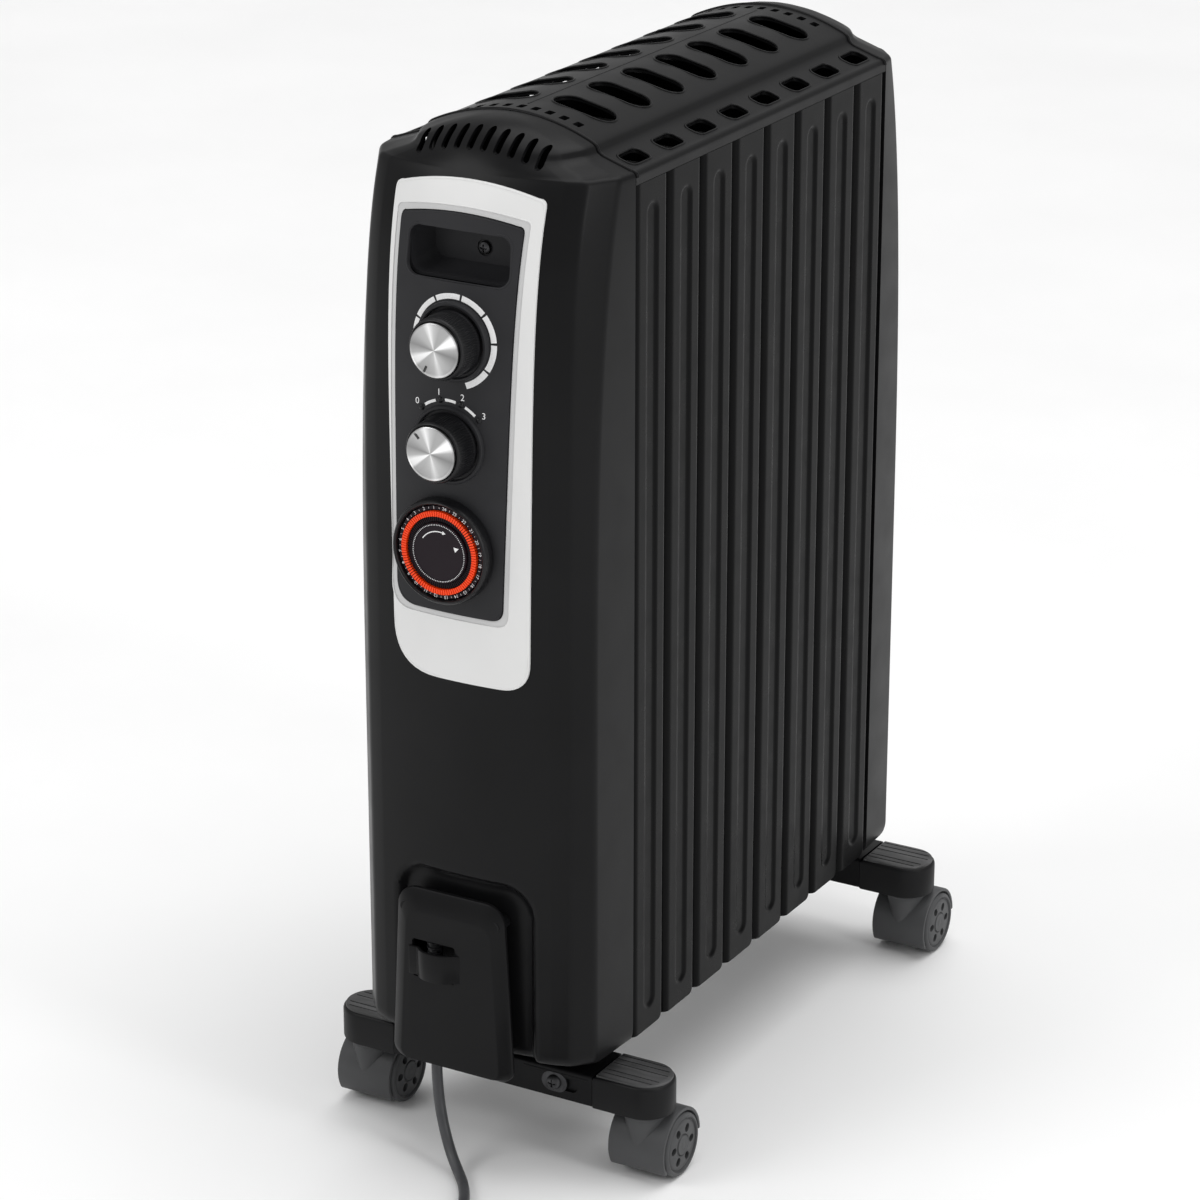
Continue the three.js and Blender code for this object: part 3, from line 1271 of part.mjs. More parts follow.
function plug() {
  const r = PLUG_RADIUS;
  const [x, y] = [COIL_CENTRE[0] + PLUG_OFFSET, COIL_CENTRE[1] - COIL_MEAN_RADIUS - COIL_HALF_WIDTH / 2];
  const profile = [
    [0, 0],
    [PLUG_TAIL_RADIUS, 0],
    [PLUG_TAIL_RADIUS + 1, PLUG_LENGTH / 4],
    [r, PLUG_LENGTH * 0.7],
    [r, PLUG_LENGTH],
    [0, PLUG_LENGTH],
  ];
  const body = turnedAlongX(profile, y, r, 20).translate([x, 0, 0]);
  const pins = [-1, 1].map((side) => {
    const pin = rod(PLUG_PIN_RADIUS, PLUG_LENGTH - 1, PLUG_LENGTH + PLUG_PIN_LENGTH);
    return turnedAlongX(pin, y + (side * PLUG_PIN_SPACING) / 2, r, 10).translate([x, 0, 0]);
  });
  return join(body, ...pins);
}

// ---------------------------------------------------------------- assembly
const finish = (color, roughness, metalness = 0) =>
  new THREE.MeshStandardMaterial({ color, roughness, metalness });

const MATERIALS = {
  shell: finish(0x1b1b1d, 0.42),
  enamel: finish(0x18181a, 0.36, 0.2),
  bezel: finish(0xe4e4e2, 0.5),
  panel: finish(0x4c4c50, 0.6),
  knob: finish(0x151517, 0.4),
  aluminium: finish(0xc8c9cc, 0.3, 1),
  dial: finish(0x3a3438, 0.5),
  tappet: finish(0xe8501c, 0.5),
  steel: finish(0x9a9ca0, 0.35, 1),
  bar: finish(0x202022, 0.45, 0.4),
  arm: finish(0x2a2a2c, 0.55),
  caster: finish(0x5a5b5e, 0.5),
  device: finish(0xd8d4c8, 0.6),
  cord: finish(0x38393b, 0.5),
};

const root = new THREE.Group();
const assembly = new THREE.Group();
assembly.position.y = -CENTRE_Y;
root.add(assembly);

function place(name, manifold, material) {
  const mesh = new THREE.Mesh(geometryOf(manifold), MATERIALS[material]);
  mesh.name = name;
  assembly.add(mesh);
}

function addFront() {
  place("front_housing", frontHousing(), "shell");
  place("bezel_panel", bezelPanel(), "bezel");
  place("control_panel", controlPanel(), "panel");
  place("pocket_screw", pocketScrew(), "steel");
  place("thermostat_knob", knob(THERMOSTAT_X, THERMOSTAT_HEIGHT), "knob");
  place("thermostat_knob_cap", knobCap(THERMOSTAT_X, THERMOSTAT_HEIGHT), "aluminium");
  place("selector_knob", knob(SELECTOR_X, SELECTOR_HEIGHT), "knob");
  place("selector_knob_cap", knobCap(SELECTOR_X, SELECTOR_HEIGHT), "aluminium");
  place("thermostat", thermostat(), "device");
  place("selector_switch", selectorSwitch(), "device");
  place("timer_bezel", timerBezel(), "knob");
  place("timer_dial", timerDial(), "dial");
  place("timer_tappets", timerTappets(), "tappet");
  place("timer_hub", timerHub(), "dial");
  place("timer_movement", timerMovement(), "device");
  place("thermal_cutout", thermalCutout(), "steel");
  place("tilt_switch", blockOf(TILT_SWITCH), "device");
  place("terminal_block", terminalBlock(), "device");
}

function addBody() {
  for (let i = 0; i <= FIN_COUNT; i += 1) place(`fin_${i + 1}`, fin(i), "enamel");
  place("heating_element", heatingElement(), "steel");
  place("oil_filler_plug", oilPlug(), "steel");
  place("top_grille", topGrille(), "shell");
  place("rear_housing", rearHousing(), "shell");
}

function addFeet() {
  const bars = [
    ["front", FRONT_BAR_Y, -1],
    ["rear", REAR_BAR_Y, 1],
  ];
  for (const [end, y, facing] of bars) {
    place(`${end}_foot_bar`, footBar(y, facing), "bar");
    for (const [hand, side] of [["left", -1], ["right", 1]]) {
      const x = side * CASTER_X;
      place(`foot_arm_${end}_${hand}`, footArm(y, side), "arm");
      place(`caster_hood_${end}_${hand}`, casterHood(x, y), "caster");
      place(`caster_axle_${end}_${hand}`, casterAxle(x, y), "steel");
      place(`wheel_${end}_${hand}_inner`, wheel(x, y, -side), "caster");
      place(`wheel_${end}_${hand}_outer`, wheel(x, y, side), "caster");
    }
  }
  place("bar_screw_left", barScrew(FRONT_BAR_Y, -1), "steel");
  place("bar_screw_right", barScrew(FRONT_BAR_Y, 1), "steel");
}

function addLead() {
  place("cord_plate", cordPlate(), "shell");
  place("strain_relief", strainRelief(), "cord");
  place("power_cord", powerCord(), "cord");
  place("cord_coil", cordCoil(), "cord");
  place("plug", plug(), "cord");
}

addFront();
addBody();
addFeet();
addLead();

export default root;
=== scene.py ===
"""Looks of the oil filled radiator heater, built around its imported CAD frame.

Sizes are worked out in millimetres in the part's own frame (+Z up, front towards -Y) and turned
into metres where a mesh is made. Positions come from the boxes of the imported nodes.
"""

import math

import bmesh
import bpy
from mathutils import Matrix, Vector


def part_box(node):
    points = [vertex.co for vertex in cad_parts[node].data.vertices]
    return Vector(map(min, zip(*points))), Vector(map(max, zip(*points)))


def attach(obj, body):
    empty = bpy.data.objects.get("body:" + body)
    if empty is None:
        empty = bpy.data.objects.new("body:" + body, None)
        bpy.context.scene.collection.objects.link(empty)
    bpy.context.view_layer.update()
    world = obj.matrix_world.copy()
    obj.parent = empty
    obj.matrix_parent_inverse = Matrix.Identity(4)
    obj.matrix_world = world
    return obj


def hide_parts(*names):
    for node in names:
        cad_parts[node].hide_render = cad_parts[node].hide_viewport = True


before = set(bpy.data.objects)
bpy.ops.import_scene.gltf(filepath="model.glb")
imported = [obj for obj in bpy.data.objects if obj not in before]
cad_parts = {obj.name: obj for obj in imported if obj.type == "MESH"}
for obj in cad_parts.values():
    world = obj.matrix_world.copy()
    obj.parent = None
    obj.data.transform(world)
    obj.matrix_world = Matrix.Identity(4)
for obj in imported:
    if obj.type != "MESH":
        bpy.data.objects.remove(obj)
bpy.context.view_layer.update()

MM = 0.001
GAP = 0.3
BODY = "heater_body"


def box(node):
    """A CAD node's lowest and highest corners in millimetres."""
    low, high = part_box(node)
    return Vector(low) / MM, Vector(high) / MM


# ------------------------------------------------------------------ sizes taken from the frame
FIN_LOW, FIN_HIGH = box("fin_1")
SEAM = FIN_LOW.y - GAP  # front seam between housing and fins
HALF = FIN_HIGH.x
FIN_BOTTOM, FIN_TOP = FIN_LOW.z, FIN_HIGH.z
FIN_COUNT = 8
PITCH = box("fin_2")[0].y - FIN_LOW.y
REAR_SEAM = SEAM + PITCH * FIN_COUNT
CROWN = box("front_housing")[1].z
FRONT_DEPTH = SEAM - box("front_housing")[0].y
REAR_DEPTH = box("rear_housing")[1].y - REAR_SEAM
FRONT_SIDE = 43.0
REAR_SIDE = 36.0

SKIRT = FIN_TOP + 5
SHELF_OUT = FIN_TOP + 8.5
SHELF_IN = SHELF_OUT + 6
STEP_TOP = SHELF_IN + 8
ARCH = CROWN - STEP_TOP
SHELF_HALF = 62.0
STEP_HALF = 53.0
WALL = 2.5

FLANGE_SLIT = 4.0  # open slit between a fin's flange and the next fin
HEADER_INSET = 38.0  # from a fin's end to the axis of its oil header
WHEEL_WIDTH = 16.0
TAPPETS = 96  # on the day timer, one for each quarter of an hour

SHOULDER = 480.0
SIDE_SHOULDER = 300.0
FLAT = 61.0

RECESS_TOP = FIN_BOTTOM + 118
RECESS_HALF = 47.0
RECESS_RADIUS = 20.0
RECESS_DEPTH = 6.0


def middle(node):
    low, high = box(node)
    return (low + high) / 2


THERMOSTAT = middle("thermostat_knob")
SELECTOR = middle("selector_knob")
TIMER = middle("timer_bezel")


# ------------------------------------------------------------------ mesh helpers
def clamp(value, low=0.0, high=1.0):
    return max(low, min(high, value))


def ease(t):
    t = clamp(t)
    return t * t * (3 - 2 * t)


def lerp(a, b, t):
    return a + (b - a) * t


def new_mesh(name, points, faces, smooth_angle=35.0):
    """A mesh object from points in millimetres, its faces turned outwards and shaded smooth."""
    mesh = bpy.data.meshes.new(name)
    mesh.from_pydata([Vector(p) * MM for p in points], [], faces)
    obj = bpy.data.objects.new(name, mesh)
    bpy.context.scene.collection.objects.link(obj)
    tidy(obj, smooth_angle)
    return obj


def tidy(obj, smooth_angle=35.0):
    work = bmesh.new()
    work.from_mesh(obj.data)
    bmesh.ops.remove_doubles(work, verts=work.verts, dist=1e-6)
    bmesh.ops.dissolve_degenerate(work, edges=work.edges, dist=1e-7)
    bmesh.ops.recalc_face_normals(work, faces=work.faces)
    work.to_mesh(obj.data)
    work.free()
    obj.data.polygons.foreach_set("use_smooth", [True] * len(obj.data.polygons))
    obj.data.set_sharp_from_angle(angle=math.radians(smooth_angle))


def bake_modifiers(obj, smooth_angle=35.0):
    """Replaces the object's mesh with its evaluated one."""
    graph = bpy.context.evaluated_depsgraph_get()
    result = bpy.data.meshes.new_from_object(obj.evaluated_get(graph))
    obj.modifiers.clear()
    obj.data = result
    tidy(obj, smooth_angle)


def boolean(obj, cutters, operation, smooth_angle=35.0):
    """Cuts or joins a list of objects into obj, and removes them."""
    cutter = merge(cutters)
    step = obj.modifiers.new("cut", "BOOLEAN")
    step.operation = operation
    step.solver = "EXACT"
    step.use_self = operation != "INTERSECT"
    step.object = cutter
    bake_modifiers(obj, smooth_angle)
    bpy.data.objects.remove(cutter)


def merge(objects):
    """Joins separate meshes into the first one."""
    first = objects[0]
    if len(objects) > 1:
        work = bmesh.new()
        for obj in objects:
            work.from_mesh(obj.data)
        work.to_mesh(first.data)
        work.free()
        for obj in objects[1:]:
            bpy.data.objects.remove(obj)
    return first


def soften(obj, width, segments=2, angle=40.0):
    """Rounds the edges that are sharper than angle."""
    step = obj.modifiers.new("edges", "BEVEL")
    step.width = width * MM
    step.segments = segments
    step.limit_method = "ANGLE"
    step.angle_limit = math.radians(angle)
    step.harden_normals = False
    bake_modifiers(obj)


def loft(name, sections, caps=True, closed=True, smooth_angle=35.0):
    """A surface through sections of equal length."""
    count = len(sections[0])
    points = [p for section in sections for p in section]
    faces = []
    across = count if closed else count - 1
    for level in range(len(sections) - 1):
        for i in range(across):
            j = (i + 1) % count
            a, b = level * count, (level + 1) * count
            faces.append((a + i, a + j, b + j, b + i))
    if caps:
        faces.append(tuple(range(count)))
        faces.append(tuple(range(len(points) - count, len(points))))
    return new_mesh(name, points, faces, smooth_angle)


def axes_for(axis):
    """Two directions across an axis, and the axis itself."""
    along = {"X": Vector((1, 0, 0)), "Y": Vector((0, 1, 0)), "Z": Vector((0, 0, 1))}[axis]
    first = {"X": Vector((0, 1, 0)), "Y": Vector((1, 0, 0)), "Z": Vector((1, 0, 0))}[axis]
    return first, along.cross(first), along


def lathe(name, profile, centre, axis="Y", segments=64, smooth_angle=35.0):
    """A closed profile of (radius, distance along the axis) turned about it."""
    first, second, along = axes_for(axis)
    sections = []
    for k in range(segments):
        angle = 2 * math.pi * k / segments
        out = first * math.cos(angle) + second * math.sin(angle)
        sections.append([Vector(centre) + out * r + along * h for r, h in profile])
    sections.append(sections[0])
    return loft(name, sections, caps=False, closed=True, smooth_angle=smooth_angle)


def prism(name, outline, axis, start, end):
    """A closed outline in the plane across an axis, pushed from start to end along it."""
    place = {
        "X": lambda u, v, w: (w, u, v),
        "Y": lambda u, v, w: (u, w, v),
        "Z": lambda u, v, w: (u, v, w),
    }[axis]
    sections = [[place(u, v, w) for u, v in outline] for w in (start, end)]
    return loft(name, sections)


def block(name, low, high):
    outline = [(low[0], low[1]), (high[0], low[1]), (high[0], high[1]), (low[0], high[1])]
    return prism(name, outline, "Z", low[2], high[2])


def arc(cx, cy, radius, start, end, steps=8):
    """Points of an arc, its angles in degrees."""
    angles = [math.radians(lerp(start, end, i / steps)) for i in range(steps + 1)]
    return [(cx + radius * math.cos(a), cy + radius * math.sin(a)) for a in angles]


def rounded(u0, u1, v0, v1, radii, steps=8):
    """A rectangle with its own radius at each corner: low-low, high-low, high-high, low-high."""
    a, b, c, d = radii if isinstance(radii, (list, tuple)) else (radii,) * 4
    return (
        arc(u0 + a, v0 + a, a, 180, 270, steps)
        + arc(u1 - b, v0 + b, b, 270, 360, steps)
        + arc(u1 - c, v1 - c, c, 0, 90, steps)
        + arc(u0 + d, v1 - d, d, 90, 180, steps)
    )


def stadium(u, v, width, height, steps=8):
    radius = min(width, height) / 2 * 0.999
    return rounded(u - width / 2, u + width / 2, v - height / 2, v + height / 2, radius, steps)


def tube(name, path, radius, closed=True, sides=8, smooth_angle=60.0):
    """A round bead that follows a path of points."""
    path = [Vector(p) for p in path]
    count = len(path)
    sections = []
    side = None
    for i, point in enumerate(path):
        before = path[i - 1] if closed or i else point
        after = path[(i + 1) % count] if closed or i < count - 1 else point
        along = (after - before).normalized()
        if side is None:
            guess = Vector((0, 0, 1)) if abs(along.z) < 0.9 else Vector((1, 0, 0))
            side = along.cross(guess).normalized()
        side = (side - along * side.dot(along)).normalized()
        other = along.cross(side)
        ring = []
        for k in range(sides):
            angle = 2 * math.pi * k / sides
            ring.append(point + (side * math.cos(angle) + other * math.sin(angle)) * radius)
        sections.append(ring)
    if closed:
        sections.append(sections[0])
    return loft(name, sections, caps=not closed, smooth_angle=smooth_angle)


def move_copy(obj, name, matrix):
    """A copy of a mesh, moved in its vertices. The matrix is in metres."""
    mesh = obj.data.copy()
    mesh.transform(matrix)
    if matrix.determinant() < 0:
        mesh.flip_normals()
    copy = bpy.data.objects.new(name, mesh)
    bpy.context.scene.collection.objects.link(copy)
    return copy


def shift(x, y, z):
    return Matrix.Translation(Vector((x, y, z)) * MM)


def finish_piece(obj, material, body=BODY, replaces=()):
    """Gives a piece its material and ties it to the frame."""
    obj.data.materials.clear()
    obj.data.materials.append(material)
    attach(obj, body)
    if replaces:
        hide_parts(*replaces)
    return obj


# ------------------------------------------------------------------ materials
class Nodes:
    """Short calls for building one material's node tree."""

    def __init__(self, name, color, roughness, metallic=0.0):
        self.material = bpy.data.materials.new(name)
        self.material.use_nodes = True
        self.tree = self.material.node_tree
        self.shader = self.tree.nodes["Principled BSDF"]
        self.shader.inputs["Base Color"].default_value = (*color, 1)
        self.shader.inputs["Roughness"].default_value = roughness
        self.shader.inputs["Metallic"].default_value = metallic
        self.place = self.node("ShaderNodeTexCoord").outputs["Object"]

    def node(self, kind, **settings):
        made = self.tree.nodes.new(kind)
        for key, value in settings.items():
            setattr(made, key, value)
        return made

    def link(self, source, target):
        self.tree.links.new(source, target)

    def noise(self, scale, detail=3.0, roughness=0.5, stretch=(1, 1, 1)):
        mapping = self.node("ShaderNodeMapping")
        mapping.inputs["Scale"].default_value = stretch
        self.link(self.place, mapping.inputs["Vector"])
        made = self.node("ShaderNodeTexNoise")
        made.inputs["Scale"].default_value = scale
        made.inputs["Detail"].default_value = detail
        made.inputs["Roughness"].default_value = roughness
        self.link(mapping.outputs["Vector"], made.inputs["Vector"])
        return made.outputs["Fac"]

    def spread(self, value, low, high, start=0.3, end=0.7):
        """Maps a noise value to a range."""
        made = self.node("ShaderNodeMapRange")
        made.inputs["From Min"].default_value = start
        made.inputs["From Max"].default_value = end
        made.inputs["To Min"].default_value = low
        made.inputs["To Max"].default_value = high
        self.link(value, made.inputs["Value"])
        return made.outputs["Result"]

    def ramp(self, value, stops):
        made = self.node("ShaderNodeValToRGB")
        elements = made.color_ramp.elements
        while len(elements) < len(stops):
            elements.new(0.5)
        for element, (place, color) in zip(elements, stops):
            element.position = place
            element.color = (*color, 1)
        self.link(value, made.inputs["Fac"])
        return made.outputs["Color"]

    def color(self, source):
        self.link(source, self.shader.inputs["Base Color"])

    def roughness(self, source):
        self.link(source, self.shader.inputs["Roughness"])

    def bump(self, *heights):
        """Stacks (height, strength, distance in millimetres) bumps."""
        normal = None
        for height, strength, distance in heights:
            made = self.node("ShaderNodeBump")
            made.inputs["Strength"].default_value = strength
            made.inputs["Distance"].default_value = distance * MM
            self.link(height, made.inputs["Height"])
            if normal:
                self.link(normal, made.inputs["Normal"])
            normal = made.outputs["Normal"]
        self.link(normal, self.shader.inputs["Normal"])


def shades(color, amount):
    """A darker and a lighter shade of a colour, for colour ramps."""
    dark = tuple(c * (1 - amount) for c in color)
    light = tuple(min(1.0, c * (1 + amount)) for c in color)
    return dark, light


def grained(name, color, roughness, grain=900.0, depth=0.05, variation=0.12, specular=0.3):
    """Moulded plastic: fine spark-eroded grain, slow colour drift and patches of polish."""
    m = Nodes(name, color, roughness)
    dark, light = shades(color, variation)
    m.color(m.ramp(m.noise(14, 4), [(0.35, dark), (0.65, light)]))
    m.roughness(m.spread(m.noise(38, 5), roughness * 0.86, roughness * 1.14))
    m.bump((m.noise(grain, 2, 0.6), 0.35, depth), (m.noise(24, 2), 0.12, 0.25))
    m.shader.inputs["Specular IOR Level"].default_value = specular
    return m.material


def enamelled(name, color, roughness, specular):
    """Baked enamel on pressed steel: orange peel, slight waviness of the sheet and dust."""
    m = Nodes(name, color, roughness)
    dark, light = shades(color, 0.15)
    m.color(m.ramp(m.noise(9, 4), [(0.3, dark), (0.7, light)]))
    m.roughness(m.spread(m.noise(60, 4), roughness * 0.85, roughness * 1.2))
    peel = m.noise(420, 2, 0.5)
    wave = m.noise(7, 1, 0.4, (1, 1, 0.25))
    m.bump((peel, 0.3, 0.04), (wave, 0.25, 0.6))
    m.shader.inputs["Specular IOR Level"].default_value = specular
    return m.material


def scuffed(name, color, roughness):
    """Ribbed tread of a foot: streaks along X, where it's worn lighter."""
    m = Nodes(name, color, roughness)
    dark, light = shades(color, 0.5)
    streak = m.noise(120, 4, 0.6, (0.12, 1, 1))
    m.color(m.ramp(streak, [(0.38, dark), (0.62, light)]))
    m.roughness(m.spread(m.noise(90, 3), roughness * 0.8, roughness * 1.2))
    m.bump((streak, 0.3, 0.15), (m.noise(700, 2), 0.3, 0.05))
    return m.material


def spun_aluminium(name, centre):
    """Lathe-turned aluminium: fine rings about the knob's axis, and painted highlights: bright fans
    painted into the colour by angle.
    """
    m = Nodes(name, (0.7, 0.7, 0.71), 0.3, 1.0)
    offset = m.node("ShaderNodeVectorMath", operation="SUBTRACT")
    m.link(m.place, offset.inputs[0])
    offset.inputs[1].default_value = Vector(centre) * MM
    flat = m.node("ShaderNodeVectorMath", operation="MULTIPLY")
    m.link(offset.outputs["Vector"], flat.inputs[0])
    flat.inputs[1].default_value = (1, 0, 1)
    radius = m.node("ShaderNodeVectorMath", operation="LENGTH")
    m.link(flat.outputs["Vector"], radius.inputs[0])
    rings = m.node("ShaderNodeTexNoise", noise_dimensions="1D")
    rings.inputs["Scale"].default_value = 5200
    rings.inputs["Detail"].default_value = 3
    m.link(radius.outputs["Value"], rings.inputs["W"])
    m.roughness(m.spread(rings.outputs["Fac"], 0.28, 0.42))
    parts = m.node("ShaderNodeSeparateXYZ")
    m.link(flat.outputs["Vector"], parts.inputs["Vector"])
    angle = m.node("ShaderNodeMath", operation="ARCTAN2")
    m.link(parts.outputs["X"], angle.inputs[0])
    m.link(parts.outputs["Z"], angle.inputs[1])
    turn = m.spread(angle.outputs["Value"], 0, 1, -math.pi, math.pi)
    # painted highlights: bright and dark fans by angle, fixed in the cap's base colour
    painted_highlights = m.ramp(turn, [(place, (shade, shade, shade)) for place, shade in CAP_PAINTED_HIGHLIGHTS])
    tone = m.ramp(rings.outputs["Fac"], [(0.35, (0.9, 0.9, 0.9)), (0.65, (1, 1, 1))])
    mixed = m.node("ShaderNodeMix", data_type="RGBA", blend_type="MULTIPLY")
    mixed.inputs["Factor"].default_value = 1
    m.link(painted_highlights, mixed.inputs["A"])
    m.link(tone, mixed.inputs["B"])
    m.color(mixed.outputs["Result"])
    m.bump((rings.outputs["Fac"], 0.25, 0.02))
    return m.material


# painted highlights and shade of a turned cap by its angle, as a share of a turn clockwise from the
# bottom
CAP_PAINTED_HIGHLIGHTS = [
    (0.0, 0.6), (0.08, 0.5), (0.13, 0.5), (0.15, 0.98), (0.19, 0.98), (0.22, 0.5),
    (0.28, 0.28), (0.36, 0.45), (0.42, 0.5), (0.46, 0.88), (0.5, 0.55), (0.55, 0.4),
    (0.62, 0.42), (0.645, 0.95), (0.69, 0.98), (0.72, 0.45), (0.78, 0.26), (0.87, 0.5),
    (0.92, 0.6), (0.96, 0.88), (1.0, 0.6),
]


def plated_steel(name, color=(0.55, 0.55, 0.56), roughness=0.32):
    """Zinc plate: cloudy passivation and fine scratches."""
    m = Nodes(name, color, roughness, 1.0)
    dark, light = shades(color, 0.16)
    m.color(m.ramp(m.noise(120, 5), [(0.3, dark), (0.7, light)]))
    m.roughness(m.spread(m.noise(300, 4), roughness * 0.7, roughness * 1.4))
    m.bump((m.noise(700, 3, 0.6, (1, 8, 1)), 0.2, 0.02))
    return m.material


def sheathed(name, color):
    """PVC cord sheath: matt, with faint flow marks."""
    m = Nodes(name, color, 0.45)
    dark, light = shades(color, 0.12)
    m.color(m.ramp(m.noise(50, 3), [(0.35, dark), (0.65, light)]))
    m.roughness(m.spread(m.noise(200, 3), 0.38, 0.55))
    m.bump((m.noise(600, 2), 0.2, 0.05))
    return m.material


def painted_mark(name, color):
    """Pad-printed ink on the panel."""
    m = Nodes(name, color, 0.5)
    dark, light = shades(color, 0.05)
    m.color(m.ramp(m.noise(900, 3), [(0.3, dark), (0.7, light)]))
    return m.material


def studio_floor(name):
    m = Nodes(name, (0.9, 0.9, 0.9), 0.65)
    m.color(m.ramp(m.noise(3, 2), [(0.3, (0.885, 0.885, 0.885)), (0.7, (0.915, 0.915, 0.915))]))
    m.roughness(m.spread(m.noise(40, 3), 0.6, 0.72))
    return m.material


SHELL = grained("shell_plastic", (0.0052, 0.0052, 0.0056), 0.34, depth=0.03, specular=0.13)
ENAMEL = enamelled("fin_enamel", (0.002, 0.002, 0.0022), 0.3, 0.075)
BEZEL = grained("bezel_plastic", (0.74, 0.74, 0.735), 0.42, 1200, 0.03, 0.02, 0.3)
# the bezel's plastic made darker: painted shade of the step round the panel's opening
BEZEL_LIP_PAINTED_SHADE = grained("bezel_lip_painted_shade", (0.58, 0.58, 0.58), 0.45, 1200, 0.03, 0.02, 0.3)
PANEL = grained("panel_plastic", (0.021, 0.021, 0.023), 0.5, 700, 0.1, 0.15, 0.2)
KNOB = grained("knob_plastic", (0.008, 0.008, 0.009), 0.36, 900, 0.03, specular=0.25)
DIAL = grained("dial_plastic", (0.013, 0.008, 0.0115), 0.42, 900, 0.03, specular=0.14)
TAPPET = grained("tappet_plastic", (1.0, 0.06, 0.003), 0.4, 900, 0.02, 0.06)
ARM = grained("arm_plastic", (0.008, 0.008, 0.0085), 0.45, 600, 0.08, specular=0.15)
TREAD = scuffed("tread_plastic", (0.05, 0.05, 0.051), 0.5)
CASTER = grained("caster_plastic", (0.062, 0.063, 0.065), 0.45, 700, 0.05, specular=0.25)
DEVICE = grained("device_plastic", (0.66, 0.62, 0.5), 0.5)
BAR = enamelled("bar_enamel", (0.004, 0.004, 0.0045), 0.4, 0.15)
STEEL = plated_steel("plated_steel")
DARK_STEEL = plated_steel("dark_zinc", (0.07, 0.07, 0.073), 0.45)
SHEATH = sheathed("cord_sheath", (0.05, 0.051, 0.055))
INK = painted_mark("white_ink", (0.86, 0.86, 0.86))
DARK_INK = painted_mark("dark_ink", (0.02, 0.02, 0.02))


# ------------------------------------------------------------------ camera and lights
def add_camera():
    azimuth, elevation = math.radians(29.8), math.radians(20.8)
    distance, lens = 2600.0, 121.3
    aside, height = -17.5, 316.0
    back = Vector(
        (
            math.sin(azimuth) * math.cos(elevation),
            -math.cos(azimuth) * math.cos(elevation),
            math.sin(elevation),
        )
    )
    right = Vector((math.cos(azimuth), math.sin(azimuth), 0))
    target = Vector((0, SEAM + 140, height)) + right * aside
    camera = bpy.data.objects.new("camera", bpy.data.cameras.new("camera"))
    bpy.context.scene.collection.objects.link(camera)
    camera.location = (target + back * distance) * MM
    camera.rotation_euler = (-back).to_track_quat("-Z", "Y").to_euler()
    camera.data.lens = lens
    camera.data.sensor_width = 36
    camera.data.clip_end = 20
    bpy.context.scene.camera = camera


def add_light(name, place, target, size, power):
    data = bpy.data.lights.new(name, "AREA")
    data.shape = "RECTANGLE"
    data.size, data.size_y = size
    data.energy = power
    light = bpy.data.objects.new(name, data)
    bpy.context.scene.collection.objects.link(light)
    light.location = place
    aim = Vector(target) - Vector(place)
    light.rotation_euler = aim.to_track_quat("-Z", "Y").to_euler()


def add_studio():
    world = bpy.data.worlds.new("studio")
    world.use_nodes = True
    world.node_tree.nodes["Background"].inputs["Color"].default_value = (1, 1, 1, 1)
    world.node_tree.nodes["Background"].inputs["Strength"].default_value = 0.48
    bpy.context.scene.world = world
    bpy.context.scene.view_settings.view_transform = "Standard"
    aim = (0, 0, 0.35)
    add_light("key", (-1.6, -2.2, 2.2), aim, (1.6, 1.2), 24)
    add_light("side", (2.4, -0.6, 1.4), aim, (0.5, 1.8), 16)
    overhead = bpy.data.lights.new("overhead", "SUN")
    overhead.energy = 1.75
    overhead.angle = math.radians(60)
    sky = bpy.data.objects.new("overhead", overhead)
    bpy.context.scene.collection.objects.link(sky)
    sky.rotation_euler = (math.radians(-14), math.radians(6), 0)
    size = 12000.0
    floor = new_mesh(
        "floor",
        [(-size, -size, 0), (size, -size, 0), (size, size, 0), (-size, size, 0)],
        [(0, 1, 2, 3)],
    )
    floor.data.materials.append(studio_floor("studio_floor"))


# ------------------------------------------------------------------ mains lead
CORD_DIAMETER = 7.0
COIL_CENTRE = (79.0, SEAM - 195.0)
COIL_RADII = (42.5, 35.5)
CORD_X, CORD_Y, _ = middle("strain_relief")
CORD_ROUTE = [
    (CORD_X, CORD_Y, 125.7),
    (CORD_X, CORD_Y, 112.0),
    (CORD_X, CORD_Y - 0.2, 98.0),
    (CORD_X + 0.1, CORD_Y - 0.8, 84.0),
    (CORD_X + 0.6, CORD_Y - 2.0, 70.0),
    (CORD_X + 2.0, CORD_Y - 4.0, 56.0),
    (CORD_X + 4.8, CORD_Y - 6.8, 42.5),
    (CORD_X + 9.2, CORD_Y - 10.4, 30.0),
    (CORD_X + 15.2, CORD_Y - 14.8, 18.8),
    (CORD_X + 22.6, CORD_Y - 20.2, 10.0),
    (2.0, SEAM - 77.4, 5.0),
    (10.4, SEAM - 86.0, 3.6),
    (18.0, SEAM - 96.4, 3.6),
    (24.6, SEAM - 108.0, 3.6),
    (30.0, SEAM - 121.0, 3.6),
    (34.0, SEAM - 136.0, 3.6),
    (36.0, SEAM - 152.0, 3.6),
    (36.5, SEAM - 170.0, 3.6),
]


def smooth_route(points, steps=6):
    """A Catmull-Rom curve through the points."""
    points = [Vector(p) for p in points]
    ends = [points[0] * 2 - points[1], *points, points[-1] * 2 - points[-2]]
    result = []
    for i in range(1, len(ends) - 2):
        a, b, c, d = ends[i - 1 : i + 3]
        for k in range(steps):
            t = k / steps
            result.append(
                (b * 2 + (c - a) * t + (a * 2 - b * 5 + c * 4 - d) * t**2
                 + (b * 3 - a - c * 3 + d) * t**3) / 2
            )
    return [*result, points[-1]]


